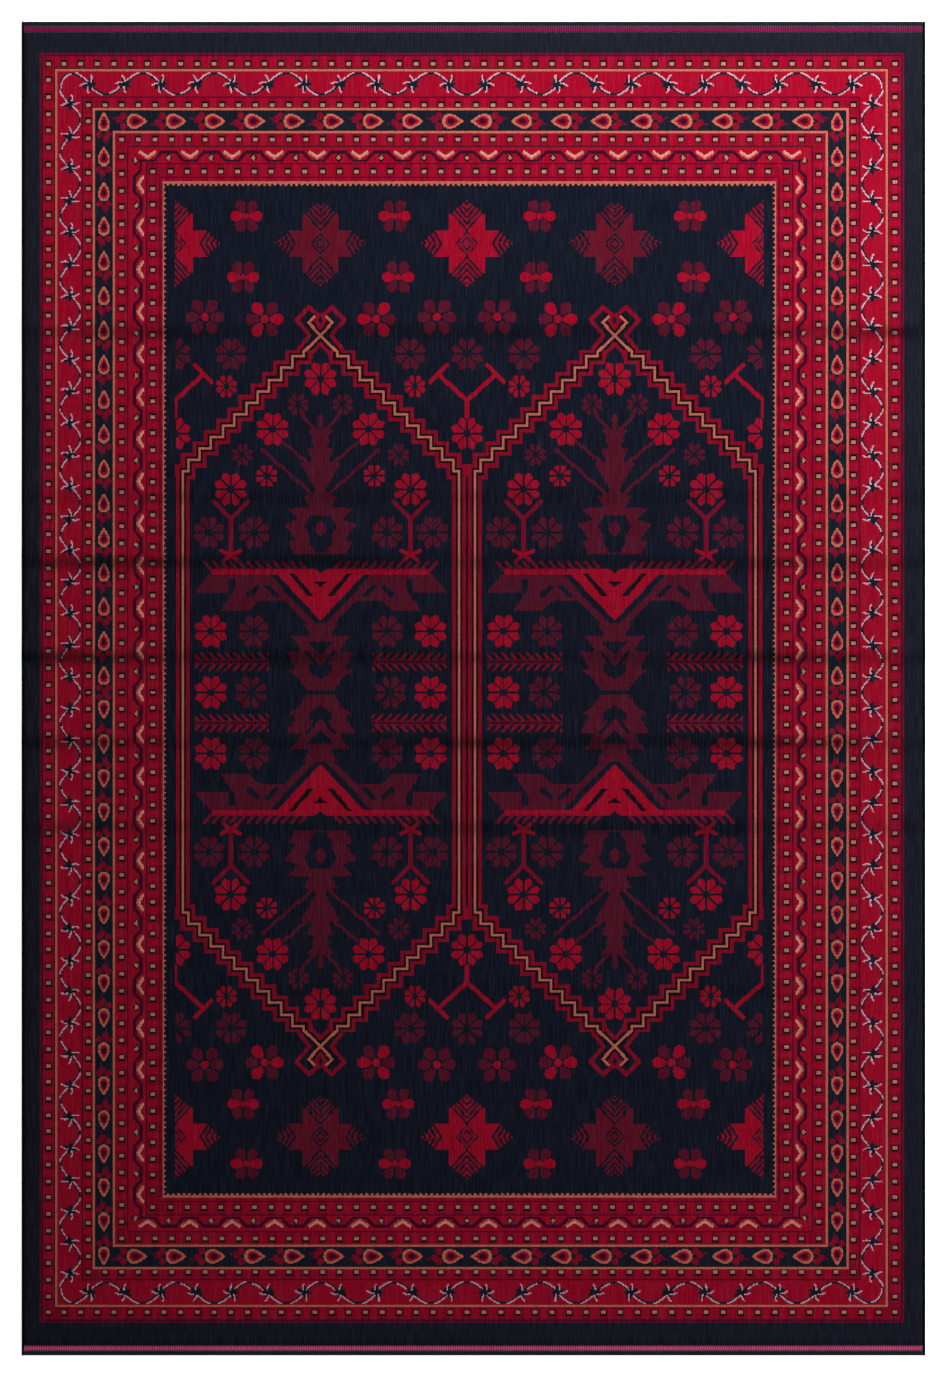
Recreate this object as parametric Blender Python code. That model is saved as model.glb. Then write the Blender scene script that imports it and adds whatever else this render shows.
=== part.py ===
"""A machine-woven area rug: ground weave, cut pile in bordered bands, corded selvedges and flat-woven ends.

Metres, +Z up. The origin is on the floor under the middle of the rug, +X runs across its width and
+Y along its length, towards the end called the head. The other end is the foot.
Every soft piece is a plain closed solid of its true size.
"""

from math import cos, pi, radians, sin

import bmesh
import bpy
from mathutils import Vector

# Overall size of the finished rug
RUG_WIDTH = 1.600
RUG_LENGTH = 2.360

# Cloth and pile
GROUND_THICKNESS = 0.0022
PILE_HEIGHT = 0.0075
FIT_GAP = 0.0003

# Side edges: a cord laid along each selvedge, with yarn overcast round it
SELVEDGE_CORD_DIAMETER = 0.0030
OVERCAST_WALL = 0.0009
CORD_END_INSET = 0.0030
EDGE_SIDES = 20

# Ends: a strip of flat weave turned under into a hem, with a stripe of coloured weft between two seams
END_CLOTH_THICKNESS = 0.0014
HEM_SHORT_OF_PILE = 0.0040
HEM_FOLD_STEPS = 8
STRIPE_RIM = 0.0095
STRIPE_WIDTH = 0.0080
STRIPE_THICKNESS = 0.0006
STITCH_WIDTH = 0.0008
STITCH_THICKNESS = 0.0006
STITCH_TO_STRIPE = 0.0007
STITCH_TO_PILE = 0.0010

# The plain pile margin outside the borders, one width for each edge of the rug
MARGIN_WIDTHS = {"left": 0.028, "right": 0.032, "head": 0.036, "foot": 0.040}
MARGIN_EDGE_ROUND = 0.0030
MARGIN_ROUND_STEPS = 3

# Border bands from the outside in: name, width along the sides, width across the ends, yarn
BORDER_BANDS = (
    ("outer_guard", 0.032, 0.032, "crimson_pile"),
    ("vine_border", 0.044, 0.044, "crimson_pile"),
    ("second_guard", 0.024, 0.024, "crimson_pile"),
    ("blossom_border", 0.032, 0.036, "navy_pile"),
    ("third_guard", 0.028, 0.028, "crimson_pile"),
    ("meander_border", 0.032, 0.028, "crimson_pile"),
    ("inner_guard", 0.036, 0.040, "crimson_pile"),
)

# The field: a star panel at each end, and the two medallions between them
STAR_PANEL_DEPTH = 0.262

# Finishes: base colour, roughness
FINISHES = {
    "navy_pile": ((0.010, 0.011, 0.021), 0.92),
    "crimson_pile": ((0.240, 0.004, 0.016), 0.92),
    "ground_weave": ((0.360, 0.270, 0.170), 0.95),
    "selvedge_cord": ((0.420, 0.360, 0.270), 0.90),
    "overcast_yarn": ((0.028, 0.030, 0.042), 0.85),
    "flatweave": ((0.018, 0.018, 0.028), 0.90),
    "magenta_weft": ((0.250, 0.018, 0.075), 0.88),
    "hem_thread": ((0.250, 0.230, 0.240), 0.80),
}

# Worked out from the sizes above
OUTER_STITCH_INSET = STRIPE_RIM - STITCH_TO_STRIPE - STITCH_WIDTH
INNER_STITCH_INSET = STRIPE_RIM + STRIPE_WIDTH + STITCH_TO_STRIPE
FLAT_END_DEPTH = INNER_STITCH_INSET + STITCH_WIDTH + STITCH_TO_PILE
HEM_DEPTH = FLAT_END_DEPTH - HEM_SHORT_OF_PILE
OVERCAST_DIAMETER = SELVEDGE_CORD_DIAMETER + 2 * (FIT_GAP + OVERCAST_WALL)
GROUND_HALF_WIDTH = RUG_WIDTH / 2 - OVERCAST_DIAMETER - FIT_GAP
GROUND_HALF_LENGTH = RUG_LENGTH / 2 - FLAT_END_DEPTH
PILE_HALF_WIDTH = GROUND_HALF_WIDTH - FIT_GAP
PILE_BOTTOM = GROUND_THICKNESS + FIT_GAP
PILE_TOP = PILE_BOTTOM + PILE_HEIGHT
END_TOP = 2 * END_CLOTH_THICKNESS + FIT_GAP
TRIM_BOTTOM = END_TOP + FIT_GAP
EDGE_CENTRE_X = RUG_WIDTH / 2 - OVERCAST_DIAMETER / 2


def clear_scene():
    for obj in list(bpy.data.objects):
        bpy.data.objects.remove(obj, do_unlink=True)


def make_finishes():
    """One Principled material for each finish, by name."""
    made = {}
    for name, (colour, roughness) in FINISHES.items():
        material = bpy.data.materials.new(name)
        material.use_nodes = True
        shader = material.node_tree.nodes["Principled BSDF"]
        shader.inputs["Base Color"].default_value = (*colour, 1.0)
        shader.inputs["Roughness"].default_value = roughness
        shader.inputs["Metallic"].default_value = 0.0
        made[name] = material
    return made


def add_piece(name, mesh_builder, material, location, turn=0.0):
    """An object from a bmesh, with its origin at its own middle, put in place by location and turn."""
    mesh = bpy.data.meshes.new(name)
    mesh_builder.to_mesh(mesh)
    mesh_builder.free()
    mesh.materials.append(material)
    piece = bpy.data.objects.new(name, mesh)
    piece.location = location
    piece.rotation_euler.z = turn
    bpy.context.scene.collection.objects.link(piece)
    return piece


def block(size):
    """A closed block of this size about its own middle."""
    shape = bmesh.new()
    bmesh.ops.create_cube(shape, size=1.0)
    bmesh.ops.scale(shape, vec=Vector(size), verts=shape.verts)
    return shape


def round_free_edge(shape, outward):
    """Rounds the top edge on one side of a block, where the pile has no neighbour and leans out."""
    reach = max(vert.co.dot(outward) for vert in shape.verts)
    free = [
        edge
        for edge in shape.edges
        if all(vert.co.z > 0 and vert.co.dot(outward) > reach - FIT_GAP for vert in edge.verts)
    ]
    bmesh.ops.bevel(
        shape,
        geom=free,
        offset=MARGIN_EDGE_ROUND,
        segments=MARGIN_ROUND_STEPS,
        profile=0.5,
        affect="EDGES",
    )


def add_pile(name, area, material, outward=None):
    """A slab of pile over a rectangle, half a fitting gap inside each of its edges."""
    x_low, x_high, y_low, y_high = area
    shape = block((x_high - x_low - FIT_GAP, y_high - y_low - FIT_GAP, PILE_HEIGHT))
    if outward:
        round_free_edge(shape, Vector(outward))
    middle = ((x_low + x_high) / 2, (y_low + y_high) / 2, (PILE_BOTTOM + PILE_TOP) / 2)
    add_piece(name, shape, material, middle)


def frame_strips(area, widths):
    """Four strips round the inside of a rectangle, and the rectangle that they leave."""
    x_low, x_high, y_low, y_high = area
    inner_x_low = x_low + widths["left"]
    inner_x_high = x_high - widths["right"]
    inner_y_low = y_low + widths["foot"]
    inner_y_high = y_high - widths["head"]
    strips = {
        "left": (x_low, inner_x_low, inner_y_low, inner_y_high),
        "right": (inner_x_high, x_high, inner_y_low, inner_y_high),
        "head": (x_low, x_high, inner_y_high, y_high),
        "foot": (x_low, x_high, y_low, inner_y_low),
    }
    return strips, (inner_x_low, inner_x_high, inner_y_low, inner_y_high)


def add_margin(area, finishes):
    outward = {"left": (-1, 0, 0), "right": (1, 0, 0), "head": (0, 1, 0), "foot": (0, -1, 0)}
    strips, inside = frame_strips(area, MARGIN_WIDTHS)
    for edge, strip in strips.items():
        add_pile(f"pile_margin_{edge}", strip, finishes["navy_pile"], outward[edge])
    return inside


def add_borders(area, finishes):
    for name, side_width, end_width, yarn in BORDER_BANDS:
        widths = {"left": side_width, "right": side_width, "head": end_width, "foot": end_width}
        strips, area = frame_strips(area, widths)
        for edge, strip in strips.items():
            add_pile(f"{name}_{edge}", strip, finishes[yarn])
    return area


def add_field(area, finishes):
    x_low, x_high, y_low, y_high = area
    x_middle = (x_low + x_high) / 2
    y_middle = (y_low + y_high) / 2
    medallion_low = y_low + STAR_PANEL_DEPTH
    medallion_high = y_high - STAR_PANEL_DEPTH
    panels = {
        "star_panel_head": (x_low, x_high, medallion_high, y_high),
        "star_panel_foot": (x_low, x_high, y_low, medallion_low),
        "medallion_head_left": (x_low, x_middle, y_middle, medallion_high),
        "medallion_head_right": (x_middle, x_high, y_middle, medallion_high),
        "medallion_foot_left": (x_low, x_middle, medallion_low, y_middle),
        "medallion_foot_right": (x_middle, x_high, medallion_low, y_middle),
    }
    for name, panel in panels.items():
        add_pile(name, panel, finishes["navy_pile"])


def add_ground_weave(finishes):
    shape = block((2 * GROUND_HALF_WIDTH, 2 * GROUND_HALF_LENGTH, GROUND_THICKNESS))
    add_piece("ground_weave", shape, finishes["ground_weave"], (0, 0, GROUND_THICKNESS / 2))


def rod_along_y(diameter, length):
    shape = bmesh.new()
    bmesh.ops.create_circle(shape, cap_ends=True, segments=EDGE_SIDES, radius=diameter / 2)
    stand_up_and_extrude(shape, length)
    return shape


def tube_along_y(outer_diameter, wall, length):
    shape = bmesh.new()
    outer = bmesh.ops.create_circle(shape, segments=EDGE_SIDES, radius=outer_diameter / 2)
    inner = bmesh.ops.create_circle(shape, segments=EDGE_SIDES, radius=outer_diameter / 2 - wall)
    rims = {edge for circle in (outer, inner) for vert in circle["verts"] for edge in vert.link_edges}
    bmesh.ops.bridge_loops(shape, edges=list(rims))
    stand_up_and_extrude(shape, length)
    return shape


def stand_up_and_extrude(shape, length):
    """Turns a flat outline in XY to face along Y, and extrudes it about the middle of its length."""
    for vert in shape.verts:
        vert.co = Vector((vert.co.x, -length / 2, vert.co.y))
    extruded = bmesh.ops.extrude_face_region(shape, geom=list(shape.faces))
    moved = [item for item in extruded["geom"] if isinstance(item, bmesh.types.BMVert)]
    bmesh.ops.translate(shape, vec=Vector((0, length, 0)), verts=moved)
    bmesh.ops.recalc_face_normals(shape, faces=shape.faces)


def smooth_round(piece):
    piece.data.shade_smooth()
    piece.data.set_sharp_from_angle(angle=radians(40))


def add_selvedges(finishes):
    for edge, side in (("left", -1), ("right", 1)):
        place = (side * EDGE_CENTRE_X, 0, OVERCAST_DIAMETER / 2)
        cord = rod_along_y(SELVEDGE_CORD_DIAMETER, RUG_LENGTH - 2 * CORD_END_INSET)
        smooth_round(add_piece(f"selvedge_cord_{edge}", cord, finishes["selvedge_cord"], place))
        wrap = tube_along_y(OVERCAST_DIAMETER, OVERCAST_WALL, RUG_LENGTH)
        smooth_round(add_piece(f"overcast_edge_{edge}", wrap, finishes["overcast_yarn"], place))


def arc(centre, radius, start, end, steps):
    """Points from one angle to another, in degrees, round a centre in the YZ plane."""
    points = []
    for step in range(steps + 1):
        angle = radians(start + (end - start) * step / steps)
        points.append((centre[0] + radius * cos(angle), centre[1] + radius * sin(angle)))
    return points


def folded_end():
    """Flat weave folded under at the rug's end, drawn for the head end with y = 0 at the fold's tip."""
    outer_radius = END_TOP / 2
    inner_radius = FIT_GAP / 2
    fold = (-outer_radius, outer_radius)
    pile_side = FIT_GAP - FLAT_END_DEPTH
    outline = [(-HEM_DEPTH, 0.0)]
    outline += arc(fold, outer_radius, -90, 90, HEM_FOLD_STEPS)
    outline += [(pile_side, END_TOP), (pile_side, END_TOP - END_CLOTH_THICKNESS)]
    outline += arc(fold, inner_radius, 90, -90, HEM_FOLD_STEPS)
    outline += [(-HEM_DEPTH, END_CLOTH_THICKNESS)]
    shape = bmesh.new()
    width = 2 * GROUND_HALF_WIDTH
    ring = [shape.verts.new((-width / 2, y, z)) for y, z in outline]
    face = shape.faces.new(ring)
    extruded = bmesh.ops.extrude_face_region(shape, geom=[face])
    moved = [item for item in extruded["geom"] if isinstance(item, bmesh.types.BMVert)]
    bmesh.ops.translate(shape, vec=Vector((width, 0, 0)), verts=moved)
    bmesh.ops.recalc_face_normals(shape, faces=shape.faces)
    return shape


def add_end_trim(name, material, end, inset, width, thickness):
    """A flat strip lying on the flat weave, its outer edge this far in from the rug's end."""
    shape = block((2 * GROUND_HALF_WIDTH, width, thickness))
    distance = RUG_LENGTH / 2 - inset - width / 2
    add_piece(name, shape, material, (0, end * distance, TRIM_BOTTOM + thickness / 2))


def add_ends(finishes):
    for word, end in (("head", 1), ("foot", -1)):
        turn = 0.0 if end > 0 else pi
        tip = (0, end * RUG_LENGTH / 2, 0)
        smooth_round(add_piece(f"flatweave_end_{word}", folded_end(), finishes["flatweave"], tip, turn))
        magenta = finishes["magenta_weft"]
        add_end_trim(f"weft_stripe_{word}", magenta, end, STRIPE_RIM, STRIPE_WIDTH, STRIPE_THICKNESS)
        thread = finishes["hem_thread"]
        for seam, inset in (("outer", OUTER_STITCH_INSET), ("inner", INNER_STITCH_INSET)):
            add_end_trim(f"hem_seam_{seam}_{word}", thread, end, inset, STITCH_WIDTH, STITCH_THICKNESS)


def build_rug():
    clear_scene()
    finishes = make_finishes()
    add_ground_weave(finishes)
    pile = (-PILE_HALF_WIDTH, PILE_HALF_WIDTH, -GROUND_HALF_LENGTH, GROUND_HALF_LENGTH)
    add_field(add_borders(add_margin(pile, finishes), finishes), finishes)
    add_selvedges(finishes)
    add_ends(finishes)


build_rug()
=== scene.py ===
# %% [markdown]
# # A knotted area rug
# The rug is a stiff ground weave with thousands of wool tufts tied round its threads, a cord along
# each side wrapped in yarn, and a flat-woven hem at each end. This lesson weaves it knot by knot.

# %% Load the measured model
import math
import bpy
import numpy as np
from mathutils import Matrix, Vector


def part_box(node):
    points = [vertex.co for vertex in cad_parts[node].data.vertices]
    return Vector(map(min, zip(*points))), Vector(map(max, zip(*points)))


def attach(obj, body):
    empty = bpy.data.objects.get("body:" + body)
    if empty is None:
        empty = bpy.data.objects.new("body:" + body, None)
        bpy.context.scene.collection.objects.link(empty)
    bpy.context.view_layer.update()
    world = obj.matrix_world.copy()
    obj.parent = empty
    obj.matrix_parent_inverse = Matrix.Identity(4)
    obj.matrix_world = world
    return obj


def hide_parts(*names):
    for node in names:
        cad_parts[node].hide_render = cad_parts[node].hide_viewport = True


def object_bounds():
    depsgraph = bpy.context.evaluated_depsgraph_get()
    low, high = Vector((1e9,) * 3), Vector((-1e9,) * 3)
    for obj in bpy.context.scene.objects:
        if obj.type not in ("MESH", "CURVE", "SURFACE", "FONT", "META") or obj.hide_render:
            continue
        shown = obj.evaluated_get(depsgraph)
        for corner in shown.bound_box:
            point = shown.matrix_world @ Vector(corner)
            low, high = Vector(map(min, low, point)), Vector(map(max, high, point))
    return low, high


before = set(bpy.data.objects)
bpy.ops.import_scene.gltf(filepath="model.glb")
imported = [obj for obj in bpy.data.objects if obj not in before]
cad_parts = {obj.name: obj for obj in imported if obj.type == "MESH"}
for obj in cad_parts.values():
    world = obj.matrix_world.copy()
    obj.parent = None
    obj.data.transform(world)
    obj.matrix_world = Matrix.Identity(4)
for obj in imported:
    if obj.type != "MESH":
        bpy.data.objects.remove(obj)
cad_low, cad_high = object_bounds()
print("measured model, metres:", [round(h - l, 4) for l, h in zip(cad_low, cad_high)])

# %% [markdown]
# ## The knot
# Everything on a rug is counted in knots. Here one knot is a 2 mm square of pile. The pieces of the
# measured model sit a hair apart, so their sides are rounded to whole knots.

# %% Count in knots
KNOT = 0.002
PIECE_GAP = 0.0003
SIDES = ("left", "right", "head", "foot")
PILE_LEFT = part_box("pile_margin_left")[0][0] - PIECE_GAP / 2
PILE_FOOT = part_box("pile_margin_foot")[0][1] - PIECE_GAP / 2
PILE_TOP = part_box("star_panel_head")[1][2]
PILE_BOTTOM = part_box("star_panel_head")[0][2]


def knot_lines(node):
    """First and last column line, then first and last row line, of a pile piece."""
    low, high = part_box(node)
    columns = [round((x - PILE_LEFT) / KNOT) for x in (low[0], high[0])]
    rows = [round((y - PILE_FOOT) / KNOT) for y in (low[1], high[1])]
    return columns + rows


MARGIN_LEFT = knot_lines("pile_margin_left")[1]
MARGIN_FOOT = knot_lines("pile_margin_foot")[3]
PILE_COLUMNS = knot_lines("pile_margin_right")[1]
PILE_ROWS = knot_lines("pile_margin_head")[3]
PATTERN_COLUMNS = knot_lines("pile_margin_right")[0] - MARGIN_LEFT
PATTERN_ROWS = knot_lines("pile_margin_head")[2] - MARGIN_FOOT
print("pile:", PILE_COLUMNS, "by", PILE_ROWS, "knots; pattern:", PATTERN_COLUMNS, "by", PATTERN_ROWS)

# %% [markdown]
# ## The yarns
# A weaver keeps a ball of each colour within reach. Each ball has a number, and the design is a sheet
# of those numbers, so one list of colours here dyes the whole rug.

# %% Dye the yarns
YARNS = {
    "margin_navy": (30, 32, 43),
    "field_navy": (21, 26, 41),
    "crimson": (182, 3, 42),
    "dark_line": (78, 6, 30),
    "black": (26, 14, 20),
    "gold": (216, 119, 97),
    "beige": (212, 142, 120),
    "plum": (112, 14, 48),
    "blush": (244, 180, 196),
    "blossom_navy": (26, 31, 44),
    "orange_gold": (219, 123, 98),
    "deep_crimson": (158, 2, 40),
    "cream": (251, 178, 162),
    "dim_red": (140, 6, 44),
    "wine": (132, 8, 44),
    "zigzag_wine": (62, 10, 40),
}
NUMBER = {name: place for place, name in enumerate(YARNS)}


def linear(srgb, alpha=1.0):
    """The colour that a screen shows for 0 to 255 values, as light."""
    parts = [c / 255 for c in srgb]
    return (*[c / 12.92 if c <= 0.04045 else ((c + 0.055) / 1.055) ** 2.4 for c in parts], alpha)


print("yarns:", ", ".join(YARNS))

# %% [markdown]
# ## Squared design paper
# The design is drawn on squared paper, one square for each knot. It could be drawn straight into the
# shader with maths, but a sheet of numbers gives the crisp stepped edges that real knots have.

# %% The paper and its drawing tools
class Paper:
    """Squared paper. u runs to the right and v runs up, both in knots."""

    def __init__(self, wide, tall, yarn):
        self.yarns = np.full((tall, wide), NUMBER[yarn], np.uint8)
        self.u, self.v = np.meshgrid(np.arange(wide) + 0.5, np.arange(tall) + 0.5)
        self.checks = (np.floor(self.u) + np.floor(self.v)) % 2 == 0

    def dye(self, mask, yarn):
        self.yarns[mask] = NUMBER[yarn]

    def dye_checked(self, mask, yarn, other="field_navy"):
        self.dye(mask & self.checks, yarn)
        self.dye(mask & ~self.checks, other)

    def dye_tone(self, mask, solid, dim):
        """Solid motifs are crimson all over, and dim ones alternate knot by knot."""
        if solid:
            self.dye(mask, "crimson")
        else:
            self.dye_checked(mask, dim)


def inside(paper, points):
    """Squares inside a closed outline."""
    hits = np.zeros(paper.u.shape, bool)
    for (u0, v0), (u1, v1) in zip(points, points[1:] + points[:1]):
        if v0 == v1:
            continue
        crossing = u0 + (paper.v - v0) * (u1 - u0) / (v1 - v0)
        hits ^= ((v0 > paper.v) != (v1 > paper.v)) & (paper.u < crossing)
    return hits


def stroke(paper, points, width):
    """Squares within half a width of a path."""
    nearest = np.full(paper.u.shape, np.inf)
    for (u0, v0), (u1, v1) in zip(points, points[1:]):
        du, dv = u1 - u0, v1 - v0
        along = ((paper.u - u0) * du + (paper.v - v0) * dv) / max(du * du + dv * dv, 1e-9)
        along = np.clip(along, 0, 1)
        away = np.hypot(paper.u - u0 - along * du, paper.v - v0 - along * dv)
        nearest = np.minimum(nearest, away)
    return nearest <= width / 2


def square_stroke(paper, points, width):
    """Like stroke, for paths that run straight up or across, with square corners."""
    hits = np.zeros(paper.u.shape, bool)
    for (u0, v0), (u1, v1) in zip(points, points[1:]):
        near_u = np.maximum(min(u0, u1) - paper.u, paper.u - max(u0, u1))
        near_v = np.maximum(min(v0, v1) - paper.v, paper.v - max(v0, v1))
        hits |= np.maximum(near_u, near_v) <= width / 2
    return hits


def oval(paper, centre, half_wide, half_tall):
    away_u = (paper.u - centre[0]) / half_wide
    away_v = (paper.v - centre[1]) / half_tall
    return away_u**2 + away_v**2 <= 1


def disc(paper, centre, radius):
    return oval(paper, centre, radius, radius)


def lozenge(paper, centre, half_wide, half_tall):
    return abs(paper.u - centre[0]) / half_wide + abs(paper.v - centre[1]) / half_tall <= 1


def from_centre(centre, degrees, reach):
    """The point that lies a reach away from a centre, at a turn."""
    turn = math.radians(degrees)
    return (centre[0] + reach * math.cos(turn), centre[1] + reach * math.sin(turn))


print("paper test:", int(disc(Paper(20, 20, "crimson"), (10, 10), 5).sum()), "knots in a small disc")

# %% [markdown]
# ## Flowers of the field
# Three kinds of flower fill the field: round rosettes of eight petals, flowers of six petals round a
# small dot, and stars of eight points. Some are solid crimson, and others alternate crimson and navy
# knots, which looks like a dimmer red from a step away. That is how a weaver gets an extra tone.

# %% Rosettes, six-petal flowers and stars
PETAL_GAP = 0.75


def draw_rosette(paper, centre, radius, solid, heart):
    """Eight rounded petals, parted by thin dark lines, round a dark heart."""
    du, dv = paper.u - centre[0], paper.v - centre[1]
    away = np.hypot(du, dv)
    eighth = math.tau / 8
    turn = (np.arctan2(dv, du) % eighth) - eighth / 2
    edge = radius * (0.90 + 0.10 * np.cos(np.clip(turn / eighth * math.tau, -math.pi, math.pi)))
    parted = away * np.sin(eighth / 2 - abs(turn)) > PETAL_GAP
    petals = (away < edge) & (away > heart * 0.8) & parted
    paper.dye_tone(petals, solid, "wine")


PETAL_TAPER = ((0, 1.0), (2.2, 0.8), (4.6, 0.52))


def draw_six_petals(paper, centre, petals, radius, heart):
    """petals are (turn in degrees, distance, solid)."""
    for degrees, distance, solid in petals:
        petal = np.zeros(paper.u.shape, bool)
        for back, share in PETAL_TAPER:
            petal |= disc(paper, from_centre(centre, degrees, distance - back), radius * share)
        paper.dye_tone(petal, solid, "dim_red")
    paper.dye(disc(paper, centre, heart), "crimson")


STAR_OUTLINE = [(0, 38), (15.8, 25), (15.8, 11.4), (28.5, 11.4), (40.5, 0)]
# Where the arrows of a tip start, how steeply they slope, and how far apart they are.
STAR_TIPS = {"side": (21.6, 0.62, 4.8), "end": (10.4, 1.12, 5.6)}
ARROW_WIDE, SPINE_HALF = 2.5, 1.2
STAR_HEART = (8.6, 10.2)
STAR_RINGS = {"solid": (10.2, 5.4), "dim": (8.6, 4.6)}
RING_STRETCH, RING_WIDE, RING_TALL = 1.15, 1.4, 1.6


def star_outline(centre):
    right = STAR_OUTLINE + [(u, -v) for u, v in STAR_OUTLINE[-2::-1]]
    whole = right + [(-u, v) for u, v in right[-2:0:-1]]
    return [(centre[0] + u, centre[1] + v) for u, v in whole]


def draw_star(paper, centre, solid):
    """A star of eight points, with arrow stripes in four tips and a dim lozenge at the heart."""
    whole = inside(paper, star_outline(centre))
    du, dv = abs(paper.u - centre[0]), abs(paper.v - centre[1])
    paper.dye_tone(whole, solid, "deep_crimson")
    for near, off, (start, slope, pitch) in ((du, dv, STAR_TIPS["side"]), (dv, du, STAR_TIPS["end"])):
        steps = near - start - slope * off
        tip = whole & (steps > 0)
        if solid:
            paper.dye_checked(tip, "crimson", "plum")
            paper.dye(tip & (off < SPINE_HALF), "crimson")
        paper.dye(tip & (steps % pitch < ARROW_WIDE), "field_navy")
    if solid:
        paper.dye_checked(lozenge(paper, centre, *STAR_HEART), "crimson", "plum")
    for wide in STAR_RINGS["solid" if solid else "dim"]:
        tall = wide * RING_STRETCH
        hole = lozenge(paper, centre, wide - RING_WIDE, tall - RING_TALL)
        paper.dye(lozenge(paper, centre, wide, tall) & ~hole, "field_navy")


print("star outline has", len(star_outline((0, 0))), "corners")

# %% [markdown]
# ## One half of a medallion
# The field holds four copies of one panel, and each panel is the mirror of its own other half. So only
# half of one panel is drawn, 130 knots wide and 445 tall. The rest is folding the paper over.

# %% Flowers of the half panel
PANEL_WIDE = 130
PANEL_TALL = 445
AXIS = 0
SEAM = PANEL_WIDE
STAR_HEIGHT = 394.7
HEART_SHARE = 0.28
panel = Paper(PANEL_WIDE, PANEL_TALL, "field_navy")

draw_star(panel, (AXIS, STAR_HEIGHT), solid=False)
draw_star(panel, (SEAM, STAR_HEIGHT), solid=True)
SMALL_FLOWER = [(0, 9.6, True), (180, 9.6, True)] + [(turn, 10.4, False) for turn in (59, 121, 239, 301)]
LARGE_FLOWER = [(turn, 12.1, False) for turn in (0, 56, 124, 180, 236, 304)]
MIXED_FLOWER = [(0, 12, False), (124, 12.1, False), (236, 12.1, False)]
MIXED_FLOWER += [(56, 12.1, True), (180, 12, True), (304, 12.1, True)]
for centre, petals, radius, heart in (
    ((66, 418.7), SMALL_FLOWER, 4.6, 2.7),
    ((69, 365.2), SMALL_FLOWER, 4.6, 2.7),
    ((103.4, 330.3), LARGE_FLOWER, 5.0, 3.5),
    ((49.8, 328.4), MIXED_FLOWER, 5.0, 3.5),
):
    draw_six_petals(panel, centre, petals, radius, heart)
ROSETTES = [
    ((79.7, 298), 14.6, False), ((SEAM, 298), 14.6, False), ((83.9, 269.4), 10, True),
    ((SEAM, 228.1), 14.6, True), ((AXIS, 276.3), 15, True), ((42.7, 231.8), 15, True),
    ((80.2, 179.2), 15, True), ((20.1, 253.6), 9.8, False), ((69.5, 209.5), 9.8, False),
    ((47.9, 190.9), 10, True), ((59.2, 141), 14.6, False), ((99.7, 141), 14.6, False),
    ((97.7, 54), 15, True), ((59.4, 54), 14.6, False), ((97.7, 0), 15, True), ((62, 0), 14.6, False),
]
for centre, radius, solid in ROSETTES:
    draw_rosette(panel, centre, radius, solid, heart=radius * HEART_SHARE)
print("rosettes in the half panel:", len(ROSETTES))

# %% [markdown]
# The medallion's frame is five lines side by side: crimson, dark, gold, dark, crimson. It climbs in
# even steps from the side of the panel to a hook at the top. The steps are drawn as one path with the
# widest line first, so the narrow ones land on top. The hook's outline has its own path.

# %% The stepped frame
STEP_WIDE, STEP_TALL, STEPS = 10.37, 10.11, 10
FRAME_START, FIRST_STEP, FRAME_SIDE = (14.6, 300), 295.7, 123.2
FRAME_LINES = [(12.6, "deep_crimson"), (6.4, "black"), (2, "gold")]
GOLD_HOOK = [(14.6, 300), (0, 314.1), (10.5, 325.2), (5.4, 330.6)]
RED_HOOK = [(0, 320.2), (4.3, 327.5), (1.9, 331.8), (10.3, 339), (21.2, 327.6)]
RED_HOOK += [(9.6, 314.1), (19.2, 302.5)]
RED_APEX = [(0, 306.8), (8.9, 297.6), (9.3, 291)]


def stepped_path():
    path = [FRAME_START, (FRAME_START[0], FIRST_STEP)]
    for step in range(STEPS):
        across = FRAME_START[0] + step * STEP_WIDE
        down = FIRST_STEP - step * STEP_TALL
        path += [(across + STEP_WIDE, down), (across + STEP_WIDE, down - STEP_TALL)]
    return path + [(FRAME_SIDE, path[-1][1]), (FRAME_SIDE, -8)]


frame_path = stepped_path()
below_hook = (panel.v < 301) & ((panel.u > 8) | (panel.v < 293))
panel.dye(stroke(panel, GOLD_HOOK, 6.4), "black")
panel.dye(stroke(panel, RED_HOOK, 3.2) | stroke(panel, RED_APEX, 3.2), "deep_crimson")
for width, yarn in FRAME_LINES:
    panel.dye(square_stroke(panel, frame_path, width) & below_hook, yarn)
panel.dye(stroke(panel, GOLD_HOOK, 2.2), "gold")
panel.dye((panel.u > SEAM - 1) & (panel.v < 190), "black")
print("frame path corners:", len(frame_path))

# %% [markdown]
# The small motifs: a forked stem on the seam, a stem between the lower flowers, and the wide winged
# ornament at the waist with its row of barbs.

# %% Stems, wings and barbs
SEAM_STEM = [(SEAM, 243), (SEAM, 257), (104.6, 280.1)]
SEAM_FORK = [(112, 288.1), (97.5, 273.2)]
STEM_LINE, STEM_WIDE = 80.1, 3.6
for path in (SEAM_STEM, SEAM_FORK):
    panel.dye(stroke(panel, path, STEM_WIDE), "crimson")
panel.dye(stroke(panel, [(STEM_LINE, 153.2), (STEM_LINE, 121)], 4.2), "dim_red")
for side in (-1, 1):
    fork = [(STEM_LINE, 153), (STEM_LINE + side * 15.6, 168.5)]
    panel.dye(stroke(panel, fork, STEM_WIDE), "dim_red")
    foot = [(STEM_LINE + side * 8.3, 125), (STEM_LINE, 121.1), (STEM_LINE - side * 5.8, 116.7)]
    panel.dye(stroke(panel, foot, 3.2), "crimson")

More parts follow.
